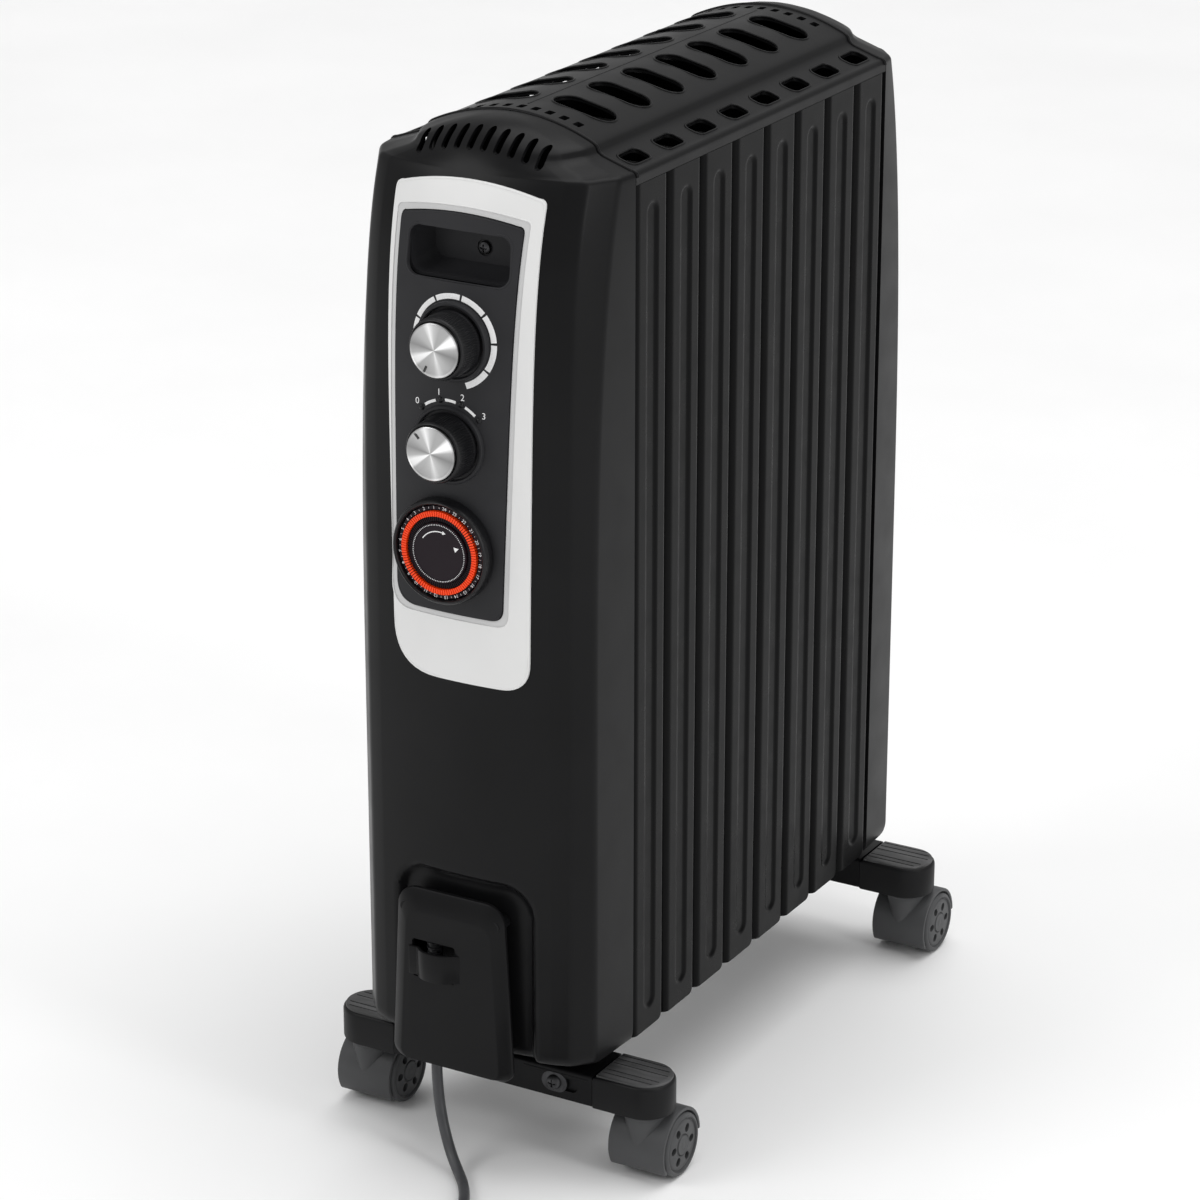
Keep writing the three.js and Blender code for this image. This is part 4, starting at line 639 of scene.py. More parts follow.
def coil_points(per_turn=32):
    """Five and a quarter turns in three layers, ending on top at the outside."""
    outer, inner = COIL_RADII
    low, mid, high = (CORD_DIAMETER * (i + 0.5) for i in range(3))
    turns = [(outer, low), (inner, low), (inner, mid), (outer, mid), (outer, high), (outer, high)]
    total = 5.25
    points = []
    for i in range(1, int(total * per_turn) + 1):
        turn = i / per_turn
        whole = min(int(turn), 4)
        share = ease((turn - whole - 0.8) / 0.14)
        r = lerp(turns[whole][0], turns[whole + 1][0], share)
        z = lerp(turns[whole][1], turns[whole + 1][1], share)
        angle = math.pi + 2 * math.pi * turn
        points.append(
            Vector(
                (
                    COIL_CENTRE[0] + r * math.cos(angle),
                    COIL_CENTRE[1] + r * math.sin(angle),
                    z + 0.1,
                )
            )
        )
    return points


def add_lead():
    """The mains lead on one spline, from the strain relief through the coil to the plug."""
    tangent = Vector((COIL_CENTRE[0] - COIL_RADII[0], COIL_CENTRE[1], 3.6))
    plug_low, plug_high = box("plug")
    tail = Vector((plug_low.x + 4, (plug_low.y + plug_high.y) / 2, plug_high.z / 2))
    points = smooth_route([*CORD_ROUTE, tangent]) + coil_points()
    points += [points[-1] * (1 - t) + tail * t for t in (0.25, 0.5, 0.75, 1.0)]
    curve = bpy.data.curves.new("mains_lead", "CURVE")
    curve.dimensions = "3D"
    curve.bevel_depth = CORD_DIAMETER / 2 * MM
    curve.bevel_resolution = 5
    curve.use_fill_caps = True
    spline = curve.splines.new("POLY")
    spline.points.add(len(points) - 1)
    for target, point in zip(spline.points, points):
        target.co = (*(point * MM), 1)
    spline.use_smooth = True
    lead = bpy.data.objects.new("mains_lead", curve)
    bpy.context.scene.collection.objects.link(lead)
    curve.materials.append(SHEATH)
    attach(lead, BODY)
    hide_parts("power_cord", "cord_coil")
    pieces = [add_plug(), add_relief()]


def add_plug():
    low, high = box("plug")
    centre = (low.x, (low.y + high.y) / 2, high.z / 2)
    radius = high.z / 2 - 0.2
    length = 34.0
    neck = [(4.6, 0), (5.2, 1), (4.7, 2), (5.6, 3), (5.0, 4), (6.0, 5), (5.4, 6), (6.4, 7)]
    profile = [
        (0.01, 0),
        *neck,
        (8.5, 10),
        (12.5, 14),
        (radius - 2, 20),
        (radius, 25),
        (radius, 28),
        (radius - 1.2, 28.6),
        (radius - 1.2, 30),
        (radius, 30.6),
        (radius - 0.3, length - 0.6),
        (radius - 1.2, length),
        (0.01, length),
    ]
    plug = lathe("mains_plug", profile, centre, "X", 40, 30)
    finish_piece(plug, SHEATH, replaces=["plug"])
    pins = []
    for side in (-1, 1):
        at = (centre[0], centre[1] + side * 9.5, centre[2])
        pin = [(0.01, length - 1), (2.3, length - 1), (2.3, 51.5), (1.5, 52.7), (0.01, 53)]
        pins.append(lathe("pin", pin, at, "X", 16))
    blades = merge(pins)
    blades.name = "mains_plug_pins"
    finish_piece(blades, STEEL)
    return plug


def add_relief():
    low, high = box("strain_relief")
    centre = (CORD_X, CORD_Y, 0)
    profile = [(3.6, low.z)]
    ribs = 6
    for i in range(ribs):
        z = lerp(low.z, high.z - 8, i / ribs)
        step = (high.z - 8 - low.z) / ribs
        r = lerp(4.3, 5.8, i / ribs)
        profile += [(r, z + 0.3), (r + 0.25, z + step * 0.55), (r - 0.6, z + step * 0.65)]
        profile += [(r - 0.5, z + step * 0.95)]
    profile += [(5.9, high.z - 7.2), (3.9, high.z - 6.6), (3.9, high.z - 4), (5.2, high.z - 3.7)]
    profile += [(5.2, high.z - 0.4), (4.6, high.z), (0.01, high.z), (0.01, low.z)]
    relief = lathe("cord_strain_relief", profile, centre, "Z", 32, 30)
    return finish_piece(relief, SHEATH, replaces=["strain_relief"])


# ------------------------------------------------------------------ housing form
def shoulder(z, start, power, root):
    t = clamp((z - start) / (CROWN - start))
    return max(1 - t**power, 1e-5) ** root


def bottom_round(z):
    t = clamp(1 - (z - FIN_BOTTOM) / 9)
    return 6 * (1 - math.sqrt(1 - t * t))


def recess(x, z):
    """Depth of the soft-edged recess behind the cover plate."""
    u = abs(x) - (RECESS_HALF - RECESS_RADIUS)
    v = z - (RECESS_TOP - RECESS_RADIUS)
    outside = math.hypot(max(u, 0), max(v, 0)) + min(max(u, v), 0) - RECESS_RADIUS
    return RECESS_DEPTH * ease((3.5 - outside) / 7)


def side_depth(form, z):
    _, side, _ = form
    return max(side * shoulder(z, SIDE_SHOULDER, 3, 0.7) - bottom_round(z), 0.3)


def depth(form, x, z):
    """How far the housing stands out from its seam."""
    full, _, recessed = form
    out = full * shoulder(z, SHOULDER, 3, 1 / 3) - bottom_round(z)
    side = side_depth(form, z)
    bow = 0.29 * (min(abs(x), FLAT) / FLAT) ** 2
    value = side + (out - side) * (1 - bow)
    return max(value - (recess(x, z) if recessed else 0), 0.3)


FRONT = (FRONT_DEPTH, FRONT_SIDE, True)
PLAIN = (FRONT_DEPTH, FRONT_SIDE, False)
REAR = (REAR_DEPTH, REAR_SIDE, False)


def top_half(z):
    """Half width of the housing at a height."""
    if z <= SKIRT:
        return HALF
    if z <= SHELF_OUT:
        t = (z - SKIRT) / (SHELF_OUT - SKIRT)
        return HALF - 4 * (1 - math.sqrt(1 - t * t))
    if z <= SHELF_IN:
        return lerp(HALF - 4, SHELF_HALF, (z - SHELF_OUT) / (SHELF_IN - SHELF_OUT))
    if z <= STEP_TOP:
        t = (z - SHELF_IN) / (STEP_TOP - SHELF_IN)
        return lerp(SHELF_HALF, STEP_HALF, t + 0.12 * math.sin(2 * math.pi * t))
    t = clamp((z - STEP_TOP) / ARCH)
    return max(STEP_HALF * math.sqrt(1 - t), 0.5)


def round_corner(before, corner, after, radius, steps=5):
    """Points of a smooth bend in place of a corner."""
    before, corner, after = Vector(before), Vector(corner), Vector(after)
    r0 = min(radius, (before - corner).length * 0.45)
    r1 = min(radius, (after - corner).length * 0.45)
    start = corner + (before - corner).normalized() * r0
    end = corner + (after - corner).normalized() * r1
    points = []
    for i in range(steps + 1):
        t = i / steps
        points.append(start * (1 - t) ** 2 + corner * 2 * t * (1 - t) + end * t**2)
    return points


def housing_section(form, z, across=30):
    wide = top_half(z) - bottom_round(z) / 3
    scale = wide / HALF
    side = side_depth(form, z)
    front = depth(form, FLAT, z)
    seam = (wide, 0)
    edge = (wide - 2 * scale, side)
    bevel = (wide - 13 * scale, side + (front - side) * 0.76)
    flat = (FLAT * scale, front)
    half = [Vector(seam)]
    half += round_corner(seam, edge, bevel, 3)
    half += round_corner(edge, bevel, flat, 2.5)
    for i in range(across + 1):
        x = FLAT * (1 - i / across)
        half.append(Vector((x * scale, depth(form, x, z))))
    right = [(p.x, -p.y, z) for p in half]
    left = [(-x, y, z) for x, y, z in reversed(right[:-1])]
    return right + left


def housing_levels():
    levels = [FIN_BOTTOM + 9 * (1 - math.cos(math.pi / 2 * i / 6)) for i in range(7)]
    levels += [lerp(95, RECESS_TOP - 26, i / 8) for i in range(9)]
    levels += [RECESS_TOP - 24 + 2.2 * i for i in range(15)]
    levels += [lerp(215, SHOULDER, i / 16) for i in range(17)]
    levels += [lerp(SHOULDER + 8, FIN_TOP, i / 22) for i in range(23)]
    levels += [SKIRT - 2, SKIRT]
    levels += [lerp(SKIRT, SHELF_OUT, 1 - (1 - i / 5) ** 2) for i in range(1, 6)]
    levels += [lerp(SHELF_OUT, SHELF_IN, i / 4) for i in range(1, 5)]
    levels += [lerp(SHELF_IN, STEP_TOP, i / 8) for i in range(1, 9)]
    widths = [0.97, 0.93, 0.88, 0.82, 0.75, 0.67, 0.58, 0.48, 0.37, 0.26, 0.15, 0.05, 0.0]
    levels += [STEP_TOP + ARCH * (1 - w * w) for w in widths]
    return levels


def housing_shell(name, form):
    """The hollow moulding, with its seam on y = 0 and its front towards -Y."""
    sections = [housing_section(form, z) for z in housing_levels()]
    shell = loft(name, sections, caps=False, closed=False)
    wall = shell.modifiers.new("wall", "SOLIDIFY")
    wall.thickness = WALL * MM
    wall.offset = -1 if faces_outwards(shell) else 1
    wall.use_even_offset = False
    bake_modifiers(shell)
    return shell


def faces_outwards(obj):
    """Whether the face nearest the front looks towards -Y."""
    face = min(obj.data.polygons, key=lambda f: f.center.y)
    return face.normal.y < 0


def arch_slots(name):
    """Cutters for the row of air slots over the curved front edge of the top."""
    cutters = []
    count, pitch, width = 10, 9.0, 4.6
    for i in range(count):
        x = (i - (count - 1) / 2) * pitch
        crown = CROWN - ARCH * (x / STEP_HALF) ** 2
        outline = stadium(x, crown - 9.2, width, 12, 6)
        cutters.append(prism(name, outline, "Y", -FRONT_DEPTH - 2, -3.5))
    return cutters


def arched_outline(bottom, top, arch, top_half, bottom_half, corners, inset):
    """A panel's outline. Half widths are left and right, corners top, lower left, lower right."""
    b, t = bottom + inset, top - inset
    top_left, top_right = -top_half[0] + inset, top_half[1] - inset
    left, right = -bottom_half[0] + inset, bottom_half[1] - inset
    upper, left_corner, right_corner = corners
    crown = ((top_left + top_right) / 2, t + arch * 2)
    turns = [
        ((right - right_corner, b), (right, b), (right, b + right_corner), 10),
        ((top_right, t - upper), (top_right, t), (top_right - upper, t), 4),
        ((top_right - upper, t), crown, (top_left + upper, t), 16),
        ((top_left + upper, t), (top_left, t), (top_left, t - upper), 4),
        ((left, b + left_corner), (left, b), (left + left_corner, b), 10),
    ]
    points = []
    for start, corner, end, steps in turns:
        start, corner, end = Vector(start), Vector(corner), Vector(end)
        for i in range(steps + 1):
            s = i / steps
            point = tuple(start * (1 - s) ** 2 + corner * 2 * s * (1 - s) + end * s**2)
            if not points or (Vector(point) - Vector(points[-1])).length > 0.01:
                points.append(point)
    return points


def panel_outline(inset=0.0):
    return arched_outline(375.0, 616.0, 4.0, (42.5, 41.0), (43.5, 31.5), (4.0, 15.0, 9.0), inset)


def bezel_outline(inset=0.0):
    return arched_outline(332.0, 632.0, 6.5, (49.5, 51.5), (46.5, 48.0), (5.0, 32.0, 19.0), inset)


def on_front(points, offset, form=PLAIN):
    """Points of (x, z) laid on the plain front, a distance above it, in the part's frame."""
    return [(x, SEAM - depth(form, x, z) - offset, z) for x, z in points]


def add_front_housing():
    shell = housing_shell("front_housing_shell", FRONT)
    cutters = arch_slots("slot")
    cutters.append(prism("window", panel_outline(3.0), "Y", -FRONT_DEPTH - 5, -20))
    x0, x1 = CORD_X - 11, CORD_X + 11
    cutters.append(block("lead_recess", (x0, -80, FIN_BOTTOM - 5), (x1, -41, 150)))
    boolean(shell, cutters, "DIFFERENCE")
    lining = prism("lining", rounded(x0 - 2, x1 + 2, FIN_BOTTOM + 2, 152, 2), "Y", -58.5, -39)
    boolean(lining, [block("hollow", (x0, -80, 50), (x1, -41, 150))], "DIFFERENCE")
    hole = lathe("gland", [(0.01, 148), (4.3, 148), (4.3, 154), (0.01, 154)],
                 (CORD_X, CORD_Y - SEAM, 0), "Z", 24)
    boolean(lining, [hole], "DIFFERENCE")
    # a dark sheet behind the arch slots: painted shade in place of the dark inside of the housing
    arch = [(x, CROWN - ARCH * (x / STEP_HALF) ** 2 - 3.5) for x in range(50, -51, -5)]
    slot_shade_sheet = prism("slot_shade_sheet", [(-50, FIN_TOP + 2), (50, FIN_TOP + 2), *arch], "Y", -3, -1.4)
    shell = merge([shell, lining, slot_shade_sheet])
    shell.data.transform(shift(0, SEAM - GAP, 0))
    finish_piece(shell, SHELL, replaces=["front_housing"])


def add_rear_housing():
    shell = housing_shell("rear_housing_shell", REAR)
    boolean(shell, arch_slots("slot"), "DIFFERENCE")
    shell.data.transform(Matrix.Rotation(math.pi, 4, "Z"))
    shell.data.transform(shift(0, REAR_SEAM + GAP, 0))
    finish_piece(shell, SHELL, replaces=["rear_housing"])


# ------------------------------------------------------------------ top grille
def grille_profile():
    """Half of the cover's section, from the skirt's lower edge to the crown."""
    heights = [FIN_TOP + GAP, SKIRT - 1, SKIRT]
    heights += [lerp(SKIRT, SHELF_OUT, 1 - (1 - i / 6) ** 2) for i in range(1, 7)]
    heights += [lerp(SHELF_OUT, SHELF_IN, i / 6) for i in range(1, 7)]
    heights += [lerp(SHELF_IN, STEP_TOP, i / 10) for i in range(1, 11)]
    points = [(top_half(z), z) for z in heights]
    for i in range(1, 25):
        w = 1 - i / 24
        points.append((STEP_HALF * w, STEP_TOP + ARCH * (1 - w * w)))
    return points


def cover_height(x):
    """Height of the cover's outer face at x."""
    profile = grille_profile()
    x = abs(x)
    for (x1, z1), (x0, z0) in zip(profile, profile[1:]):
        if x0 <= x <= x1 and x1 > x0:
            return lerp(z0, z1, (x - x0) / (x1 - x0))
    return CROWN


def rim(name, outline, radius):
    path = [(x, y, cover_height(x) - radius * 0.25) for x, y in outline]
    return tube(name, path, radius, sides=8)


def grille_openings():
    """Outlines in X and Y: crown slots, shelf holes and the small vents at both ends."""
    crown, shelf, vents = [], [], []
    span = REAR_SEAM - SEAM
    pitch = (span - 40) / 7
    for i in range(7):
        y = (SEAM + REAR_SEAM) / 2 + (i - 3) * pitch
        for side in (-1, 1):
            crown.append(stadium(side * 26.5, y, 41, 22, 8))
    for i in range(8):
        y = SEAM + PITCH * (i + 0.5)
        for side in (-1, 1):
            x = side * 71
            shelf.append(rounded(x - 6.5, x + 6.5, y - 12, y + 12, 5, 5))
    for start in (SEAM + 9, REAR_SEAM - 16):
        for i in range(9):
            x = (i - 4) * 9.6
            vents.append(rounded(x - 2.3, x + 2.3, start, start + 7, 0.8, 2))
    return crown, shelf, vents


def add_top_grille():
    half = grille_profile()
    section = half + [(-x, z) for x, z in reversed(half[:-1])]
    rows = [[(x, y, z) for x, z in section] for y in (SEAM + GAP, REAR_SEAM - GAP)]
    cover = loft("top_cover", rows, caps=False, closed=False)
    wall = cover.modifiers.new("wall", "SOLIDIFY")
    wall.thickness = WALL * MM
    top = max(cover.data.polygons, key=lambda f: f.center.z)
    wall.offset = -1 if top.normal.z > 0 else 1
    bake_modifiers(cover)
    crown, shelf, vents = grille_openings()
    cutters = [prism("hole", o, "Z", FIN_TOP + 5, CROWN + 2) for o in crown + shelf + vents]
    boolean(cover, cutters, "DIFFERENCE")
    rims = [rim("rim", outline, 0.8) for outline in crown]
    rims += [rim("rim", outline, 0.8) for outline in shelf]
    upper = [p for p in section if p[1] > SKIRT - 1]
    for y in (SEAM + GAP + 1.3, REAR_SEAM - GAP - 1.3):
        rims.append(tube("lip", [(x, y, z - 0.2) for x, z in upper], 1.3, closed=False))
    spine = [(0, SEAM + 20, CROWN - 0.7), (0, REAR_SEAM - 20, CROWN - 0.7)]
    rims.append(tube("spine", spine, 1.0, closed=False))
    cover = merge([cover, *rims])
    finish_piece(cover, SHELL, replaces=["top_grille"])


# ------------------------------------------------------------------ fins
def groove(y, z):
    """Depth of the pressed groove in a fin's flange, y from the fin's front."""
    width = PITCH - FLANGE_SLIT
    u = abs(y - width * 0.55) / (width * 0.17)
    half_width = width * 0.17
    centre = (FIN_BOTTOM + FIN_TOP) / 2
    reach = (FIN_TOP - FIN_BOTTOM) / 2 - 14 - half_width
    v = max(abs(z - centre) - reach, 0)
    outside = math.hypot(u * half_width, v) - half_width
    return 1.5 * ease((0.6 - outside) / 2.6)


def fin_section(z):
    """A fin's folded section at a height, closed, its front on y = GAP."""
    end = PITCH - FLANGE_SLIT
    lower = z - FIN_BOTTOM
    corner = 4 - math.sqrt(max(16 - (4 - lower) ** 2, 0)) if lower < 4 else 0
    end -= corner
    outer = [(HALF - 5 + 5 * math.sin(a), GAP + 5 - 5 * math.cos(a))
             for a in [math.pi / 2 * i / 8 for i in range(9)]]
    outer += [(HALF, lerp(6.5, end - 1.2, i / 24)) for i in range(25)]
    outer = [(x - (groove(y, z) if x > HALF - 0.1 else 0), y) for x, y in outer]
    outer += [(HALF - 0.4, end - 0.3), (HALF - 1.0, end), (HALF - 1.7, end - 0.3)]
    inner = [(HALF - 2, lerp(end - 1.2, 12, i / 10)) for i in range(11)]
    inner = [(x - groove(y, z), y) for x, y in inner]
    inner += [(HALF - 4, 9.5), (HALF - 8, 8.2), (0, 8.2)]
    half = outer + inner
    left = [(-x, y) for x, y in reversed(half[:-1])]
    return [(x, y, z) for x, y in half + left]


def add_fins():
    ends = [FIN_BOTTOM + d for d in (0, 0.4, 1, 1.8, 2.8, 4, 8, 12)]
    ends += [FIN_BOTTOM + 13 + 1.1 * i for i in range(14)]
    levels = ends + [lerp(120, FIN_TOP - 36, i / 6) for i in range(7)]
    levels += [FIN_BOTTOM + FIN_TOP - z for z in reversed(ends[5:])]
    levels.append(FIN_TOP)
    sections = [fin_section(z) for z in sorted(set(levels))]
    pattern = loft("fin_pattern", sections, smooth_angle=50)
    for i in range(FIN_COUNT):
        y = SEAM + PITCH * i
        fin = move_copy(pattern, f"fin_panel_{i + 1}", shift(0, y, 0))
        tubes = []
        for z in (FIN_BOTTOM + HEADER_INSET, FIN_TOP - HEADER_INSET):
            reach = PITCH - 0.2  # a header stops short of the next fin
            profile = [(14.5, 8), (24, 8), (22.5, 10), (21, 14), (20, reach - 6), (22, reach - 2),
                       (22, reach), (14.5, reach)]
            tubes.append(lathe("header", profile, (0, y, z), "Y", 40))
        fin = merge([fin, *tubes])
        finish_piece(fin, ENAMEL, replaces=[f"fin_{i + 1}"])
    bpy.data.objects.remove(pattern)


# ------------------------------------------------------------------ bezel, panel and pocket
POCKET = (-34.0, 34.0, 581.0, 609.5)


def skin(name, outline, low, high, step=3.0):
    """A sheet that follows the front between two heights above it, cut to an outline."""
    xs = [x for x, _ in outline]
    zs = [z for _, z in outline]
    columns = int((max(xs) - min(xs) + 6) / step)
    rows = int((max(zs) - min(zs) + 6) / (step * 1.5))
    sections = []
    for i in range(rows + 1):
        z = lerp(min(zs) - 3, max(zs) + 3, i / rows)
        line = [lerp(min(xs) - 3, max(xs) + 3, k / columns) for k in range(columns + 1)]
        front = [(x, SEAM - depth(PLAIN, x, z) - high, z) for x in line]
        rear = [(x, SEAM - depth(PLAIN, x, z) - low, z) for x in reversed(line)]
        sections.append(front + rear)
    sheet = loft(name, sections)
    mask = prism("mask", outline, "Y", SEAM - 100, SEAM - 15)
    boolean(sheet, [mask], "INTERSECT")
    return sheet


def add_bezel():
    sheet = skin("bezel_sheet", bezel_outline(), GAP, 1.6)
    opening = prism("opening", panel_outline(-3.4), "Y", SEAM - 100, SEAM - 10)
    boolean(sheet, [opening], "DIFFERENCE")
    edge = tube("edge", on_front(bezel_outline(0.7), 1.25), 0.65)
    inner = tube("edge", on_front(panel_outline(-3.7), 1.35), 0.45)
    finish_piece(merge([sheet, edge, inner]), BEZEL, replaces=["bezel_panel"])
    # a ring round the panel in a darker copy of the bezel's colour: painted shade of the step
    lip = skin("bezel_lip", panel_outline(-3.6), GAP, 1.1)
    opening = prism("opening", panel_outline(-0.1), "Y", SEAM - 100, SEAM - 10)
    boolean(lip, [opening], "DIFFERENCE")
    finish_piece(lip, BEZEL_LIP_PAINTED_SHADE)


def knob_face(z):
    """Height above the seam of the raised seat under a knob."""
    return depth(PLAIN, 0, z - 24) + 2.5


def add_panel():
    sheet = skin("control_panel_sheet", panel_outline(0.4), GAP, 2.3)
    x0, x1, z0, z1 = POCKET
    back = depth(PLAIN, 0, z0) - 24
    tub = prism("tub", rounded(x0 - 2, x1 + 2, z0 - 2, z1 + 2, 8), "Y",
                SEAM - depth(PLAIN, 0, z1) + 1.0, SEAM - back + 2)
    boolean(sheet, [tub], "UNION")
    sections = []
    for i in range(13):
        t = i / 12
        y = lerp(SEAM - back, SEAM - depth(PLAIN, 0, z0) - 6, t)
        grow = 1.2 * ease((t - 0.62) / 0.2)
        squeeze = 5 * (1 - math.sin(math.pi / 2 * clamp(t / 0.55)))
        outline = rounded(x0 + squeeze - grow, x1 - squeeze + grow, z0 + squeeze - grow,
                          z1 - squeeze * 0.5 + grow, 7)
        sections.append([(x, y, z) for x, z in outline])
    cutters = [loft("pocket", sections)]
    cutters.append(front_bore(TIMER, 25.5, -90, -20))
    cutters += [front_bore(control, 3.6, -100, -30) for control in (THERMOSTAT, SELECTOR)]
    cutters.append(front_bore(middle("pocket_screw"), 2.6, -back - 6, -back + 8))
    cutters.append(front_bore(middle("pocket_screw"), 5.2, -back - 3, -back + 1.1))
    boolean(sheet, cutters, "DIFFERENCE")
    trims = [tube("edge", on_front(panel_outline(1.0), 1.95), 0.55)]
    lip = rounded(x0 - 1.2, x1 + 1.2, z0 - 1.2, z1 + 1.2, 8.0)
    trims.append(tube("lip", on_front(lip, 2.1), 0.6))
    for control in (THERMOSTAT, SELECTOR):
        face = knob_face(control.z)
        profile = [(21.5, face - 3), (24.4, face - 3), (24.0, face + 0.8), (23.4, face + 1.5),
                   (22.2, face + 1.5), (21.6, face + 0.8)]
        seat = (control.x, SEAM, control.z)
        trims.append(lathe("collar", [(r, -h) for r, h in profile], seat, "Y", 72))
    bumps = []
    for degrees in DETENTS:
        x, z = around(SELECTOR.x, SELECTOR.z, 27.4, degrees)
        base = -depth(PLAIN, x, z) - 1.9
        dome = [(0.01, base + 1), (2.1, base + 1), (2.1, base), (1.85, base - 0.8),
                (1.2, base - 1.4), (0.01, base - 1.6)]
        bumps.append(lathe("detent", dome, (x, SEAM, z), "Y", 24))
    finish_piece(merge([sheet, *trims]), PANEL, replaces=["control_panel"])
    bumps = merge(bumps)
    bumps.name = "selector_detents"
    finish_piece(bumps, KNOB)


def front_bore(centre, radius, start, end):
    """A round cutter along Y, from start to end in front of (-) or behind (+) the seam."""
    profile = [(0.01, start), (radius, start), (radius, end), (0.01, end)]
    return lathe("bore", profile, (centre.x, SEAM, centre.z), "Y", 48)


# ------------------------------------------------------------------ marks
DETENTS = (-43, -11, 18.5, 49)  # the selector's places, degrees clockwise from the top


def ribbon(points, width, offset=2.45):
    """A flat stroke through (x, z) points on the panel."""
    left, right = [], []
    for i, (x, z) in enumerate(points):
        before = Vector(points[max(i - 1, 0)])
        after = Vector(points[min(i + 1, len(points) - 1)])
        along = (after - before).normalized()
        normal = Vector((-along.y, along.x)) * width / 2
        left.append((x + normal.x, z + normal.y))
        right.append((x - normal.x, z - normal.y))
    top = on_front(left, offset)
    low = on_front(right, offset)
    under_top = on_front(left, offset - 0.25)
    under_low = on_front(right, offset - 0.25)
    sections = [list(four) for four in zip(top, low, under_low, under_top)]
    return loft("stroke", sections)


def numeral(text, x, z, size, spin=0.0, y=None):
    """A numeral as thin raised ink, centred on x, z. It lies on the panel unless y is given."""
    curve = bpy.data.curves.new("numeral", "FONT")
    curve.body = text
    curve.size = size * MM
    curve.extrude = 0.1 * MM
    curve.align_x = "CENTER"
    curve.align_y = "CENTER"
    curve.resolution_u = 3
    holder = bpy.data.objects.new("numeral", curve)
    bpy.context.scene.collection.objects.link(holder)
    graph = bpy.context.evaluated_depsgraph_get()
    mesh = bpy.data.meshes.new_from_object(holder.evaluated_get(graph))
    bpy.data.objects.remove(holder)
    if y is None:
        y = SEAM - depth(PLAIN, x, z) - 2.42
    mesh.transform(Matrix.Rotation(spin, 4, "Z"))
    mesh.transform(Matrix.Rotation(math.pi / 2, 4, "X"))
    mesh.transform(shift(x, y, z))
    obj = bpy.data.objects.new("numeral", mesh)
    bpy.context.scene.collection.objects.link(obj)
    return obj


def around(cx, cz, radius, degrees):
    """A point on a circle seen from the front, degrees clockwise from the top."""
    a = math.radians(degrees)
    return cx + radius * math.sin(a), cz + radius * math.cos(a)


def add_panel_marks():
    marks = []
    first, last, count = -142, 162, 8
    step = (last - first) / count
    for i in range(count):
        start, end = first + step * i + 1.5, first + step * (i + 1) - 1.5
        turns = [lerp(start, end, k / 7) for k in range(8)]
        band = [around(THERMOSTAT.x, THERMOSTAT.z, 27.0, a) for a in turns]
        marks.append(ribbon(band, lerp(2.8, 3.8, i / (count - 1))))
    for i, degrees in enumerate(DETENTS):
        x, z = around(SELECTOR.x, SELECTOR.z, 32, degrees)
        marks.append(numeral(str(i), x, z, 5.6))
    for start, end in zip(DETENTS, DETENTS[1:]):
        turns = [lerp(start + 7, end - 7, k / 5) for k in range(6)]
        marks.append(ribbon([around(SELECTOR.x, SELECTOR.z, 27.4, a) for a in turns], 1.7))
    finish_piece(merge(marks), INK).name = "panel_marks"


# ------------------------------------------------------------------ knobs
def ribbed_knob(name, node, body):
    """A knob with a ribbed side, a plain foot ring and a rounded rim."""
    x, _, z = middle(node)
    base = SEAM - knob_face(z) - GAP
    tip = box(node)[0].y
    ribs, per_rib = 76, 4
    count = ribs * per_rib
    rows = [
        (0.2, base + 1.0, 0), (19.0, base + 1.0, 0), (19.9, base + 0.2, 0), (20.0, base - 1.2, 0),
        (19.6, base - 2.2, 0), (19.4, base - 2.8, 0.2), (19.0, lerp(base, tip, 0.5), 0.26),
        (18.8, tip + 2.0, 0.22), (18.4, tip + 1.0, 0.08), (17.9, tip + 0.2, 0), (17.4, tip, 0),
        (16.9, tip + 0.3, 0), (16.6, tip + 0.9, 0), (0.2, tip + 0.9, 0),
    ]
    sections = []
    for r, y, wave in rows:
        ring = []
        for k in range(count):
            a = 2 * math.pi * k / count
            rr = r + wave * math.cos(a * ribs)
            ring.append((x + rr * math.cos(a), y, z + rr * math.sin(a)))
        sections.append(ring)
    knob = loft(name, sections, smooth_angle=45)
    shaft = lathe("shaft", [(0.01, base), (3, base), (3, base + 22), (0.01, base + 22)],
                  (x, 0, z), "Y", 20)
    finish_piece(merge([knob, shaft]), KNOB, body, [node])


def knob_cap(name, node, body, degrees):
    """A turned aluminium cap with a dark pointer line."""
    low, high = box(node)
    x, _, z = middle(node)
    front, rear = low.y, high.y + 0.8
    profile = [
        (0.01, rear), (16.4, rear), (16.4, front + 0.5), (15.9, front + 0.1), (15.2, front),
        (14.7, front + 0.15), (14.3, front + 0.32), (0.01, front + 0.2),
    ]
    cap = lathe(name, profile, (x, 0, z), "Y", 96, 25)
    finish_piece(cap, spun_aluminium(name + "_metal", (x, 0, z)), body, [node])
    inner, outer = (around(x, z, r, degrees) for r in (11.2, 15.6))
    along = (Vector(outer) - Vector(inner)).normalized()
    normal = Vector((-along.y, along.x)) * 0.7
    corners = [Vector(inner) + normal, Vector(outer) + normal, Vector(outer) - normal,
               Vector(inner) - normal]
    line = prism(name + "_pointer", [tuple(c) for c in corners], "Y", front + 0.02, front + 0.6)
    finish_piece(line, DARK_INK, body)


# ------------------------------------------------------------------ day timer
def add_timer():
    low, high = box("timer_bezel")
    back, front = high.y, low.y
    profile = [
        (29.7, back), (33.0, back), (33.0, back - 3), (32.8, back - 5.5), (32.3, front + 1.3),
        (31.7, front + 0.35), (31.1, front), (30.4, front + 0.45), (29.9, front + 1.5),
        (29.7, front + 3.5),
    ]
    ring = lathe("timer_frame", profile, (TIMER.x, 0, TIMER.z), "Y", 96)
    finish_piece(ring, KNOB, replaces=["timer_bezel"])
    add_timer_dial()
    add_timer_hub()


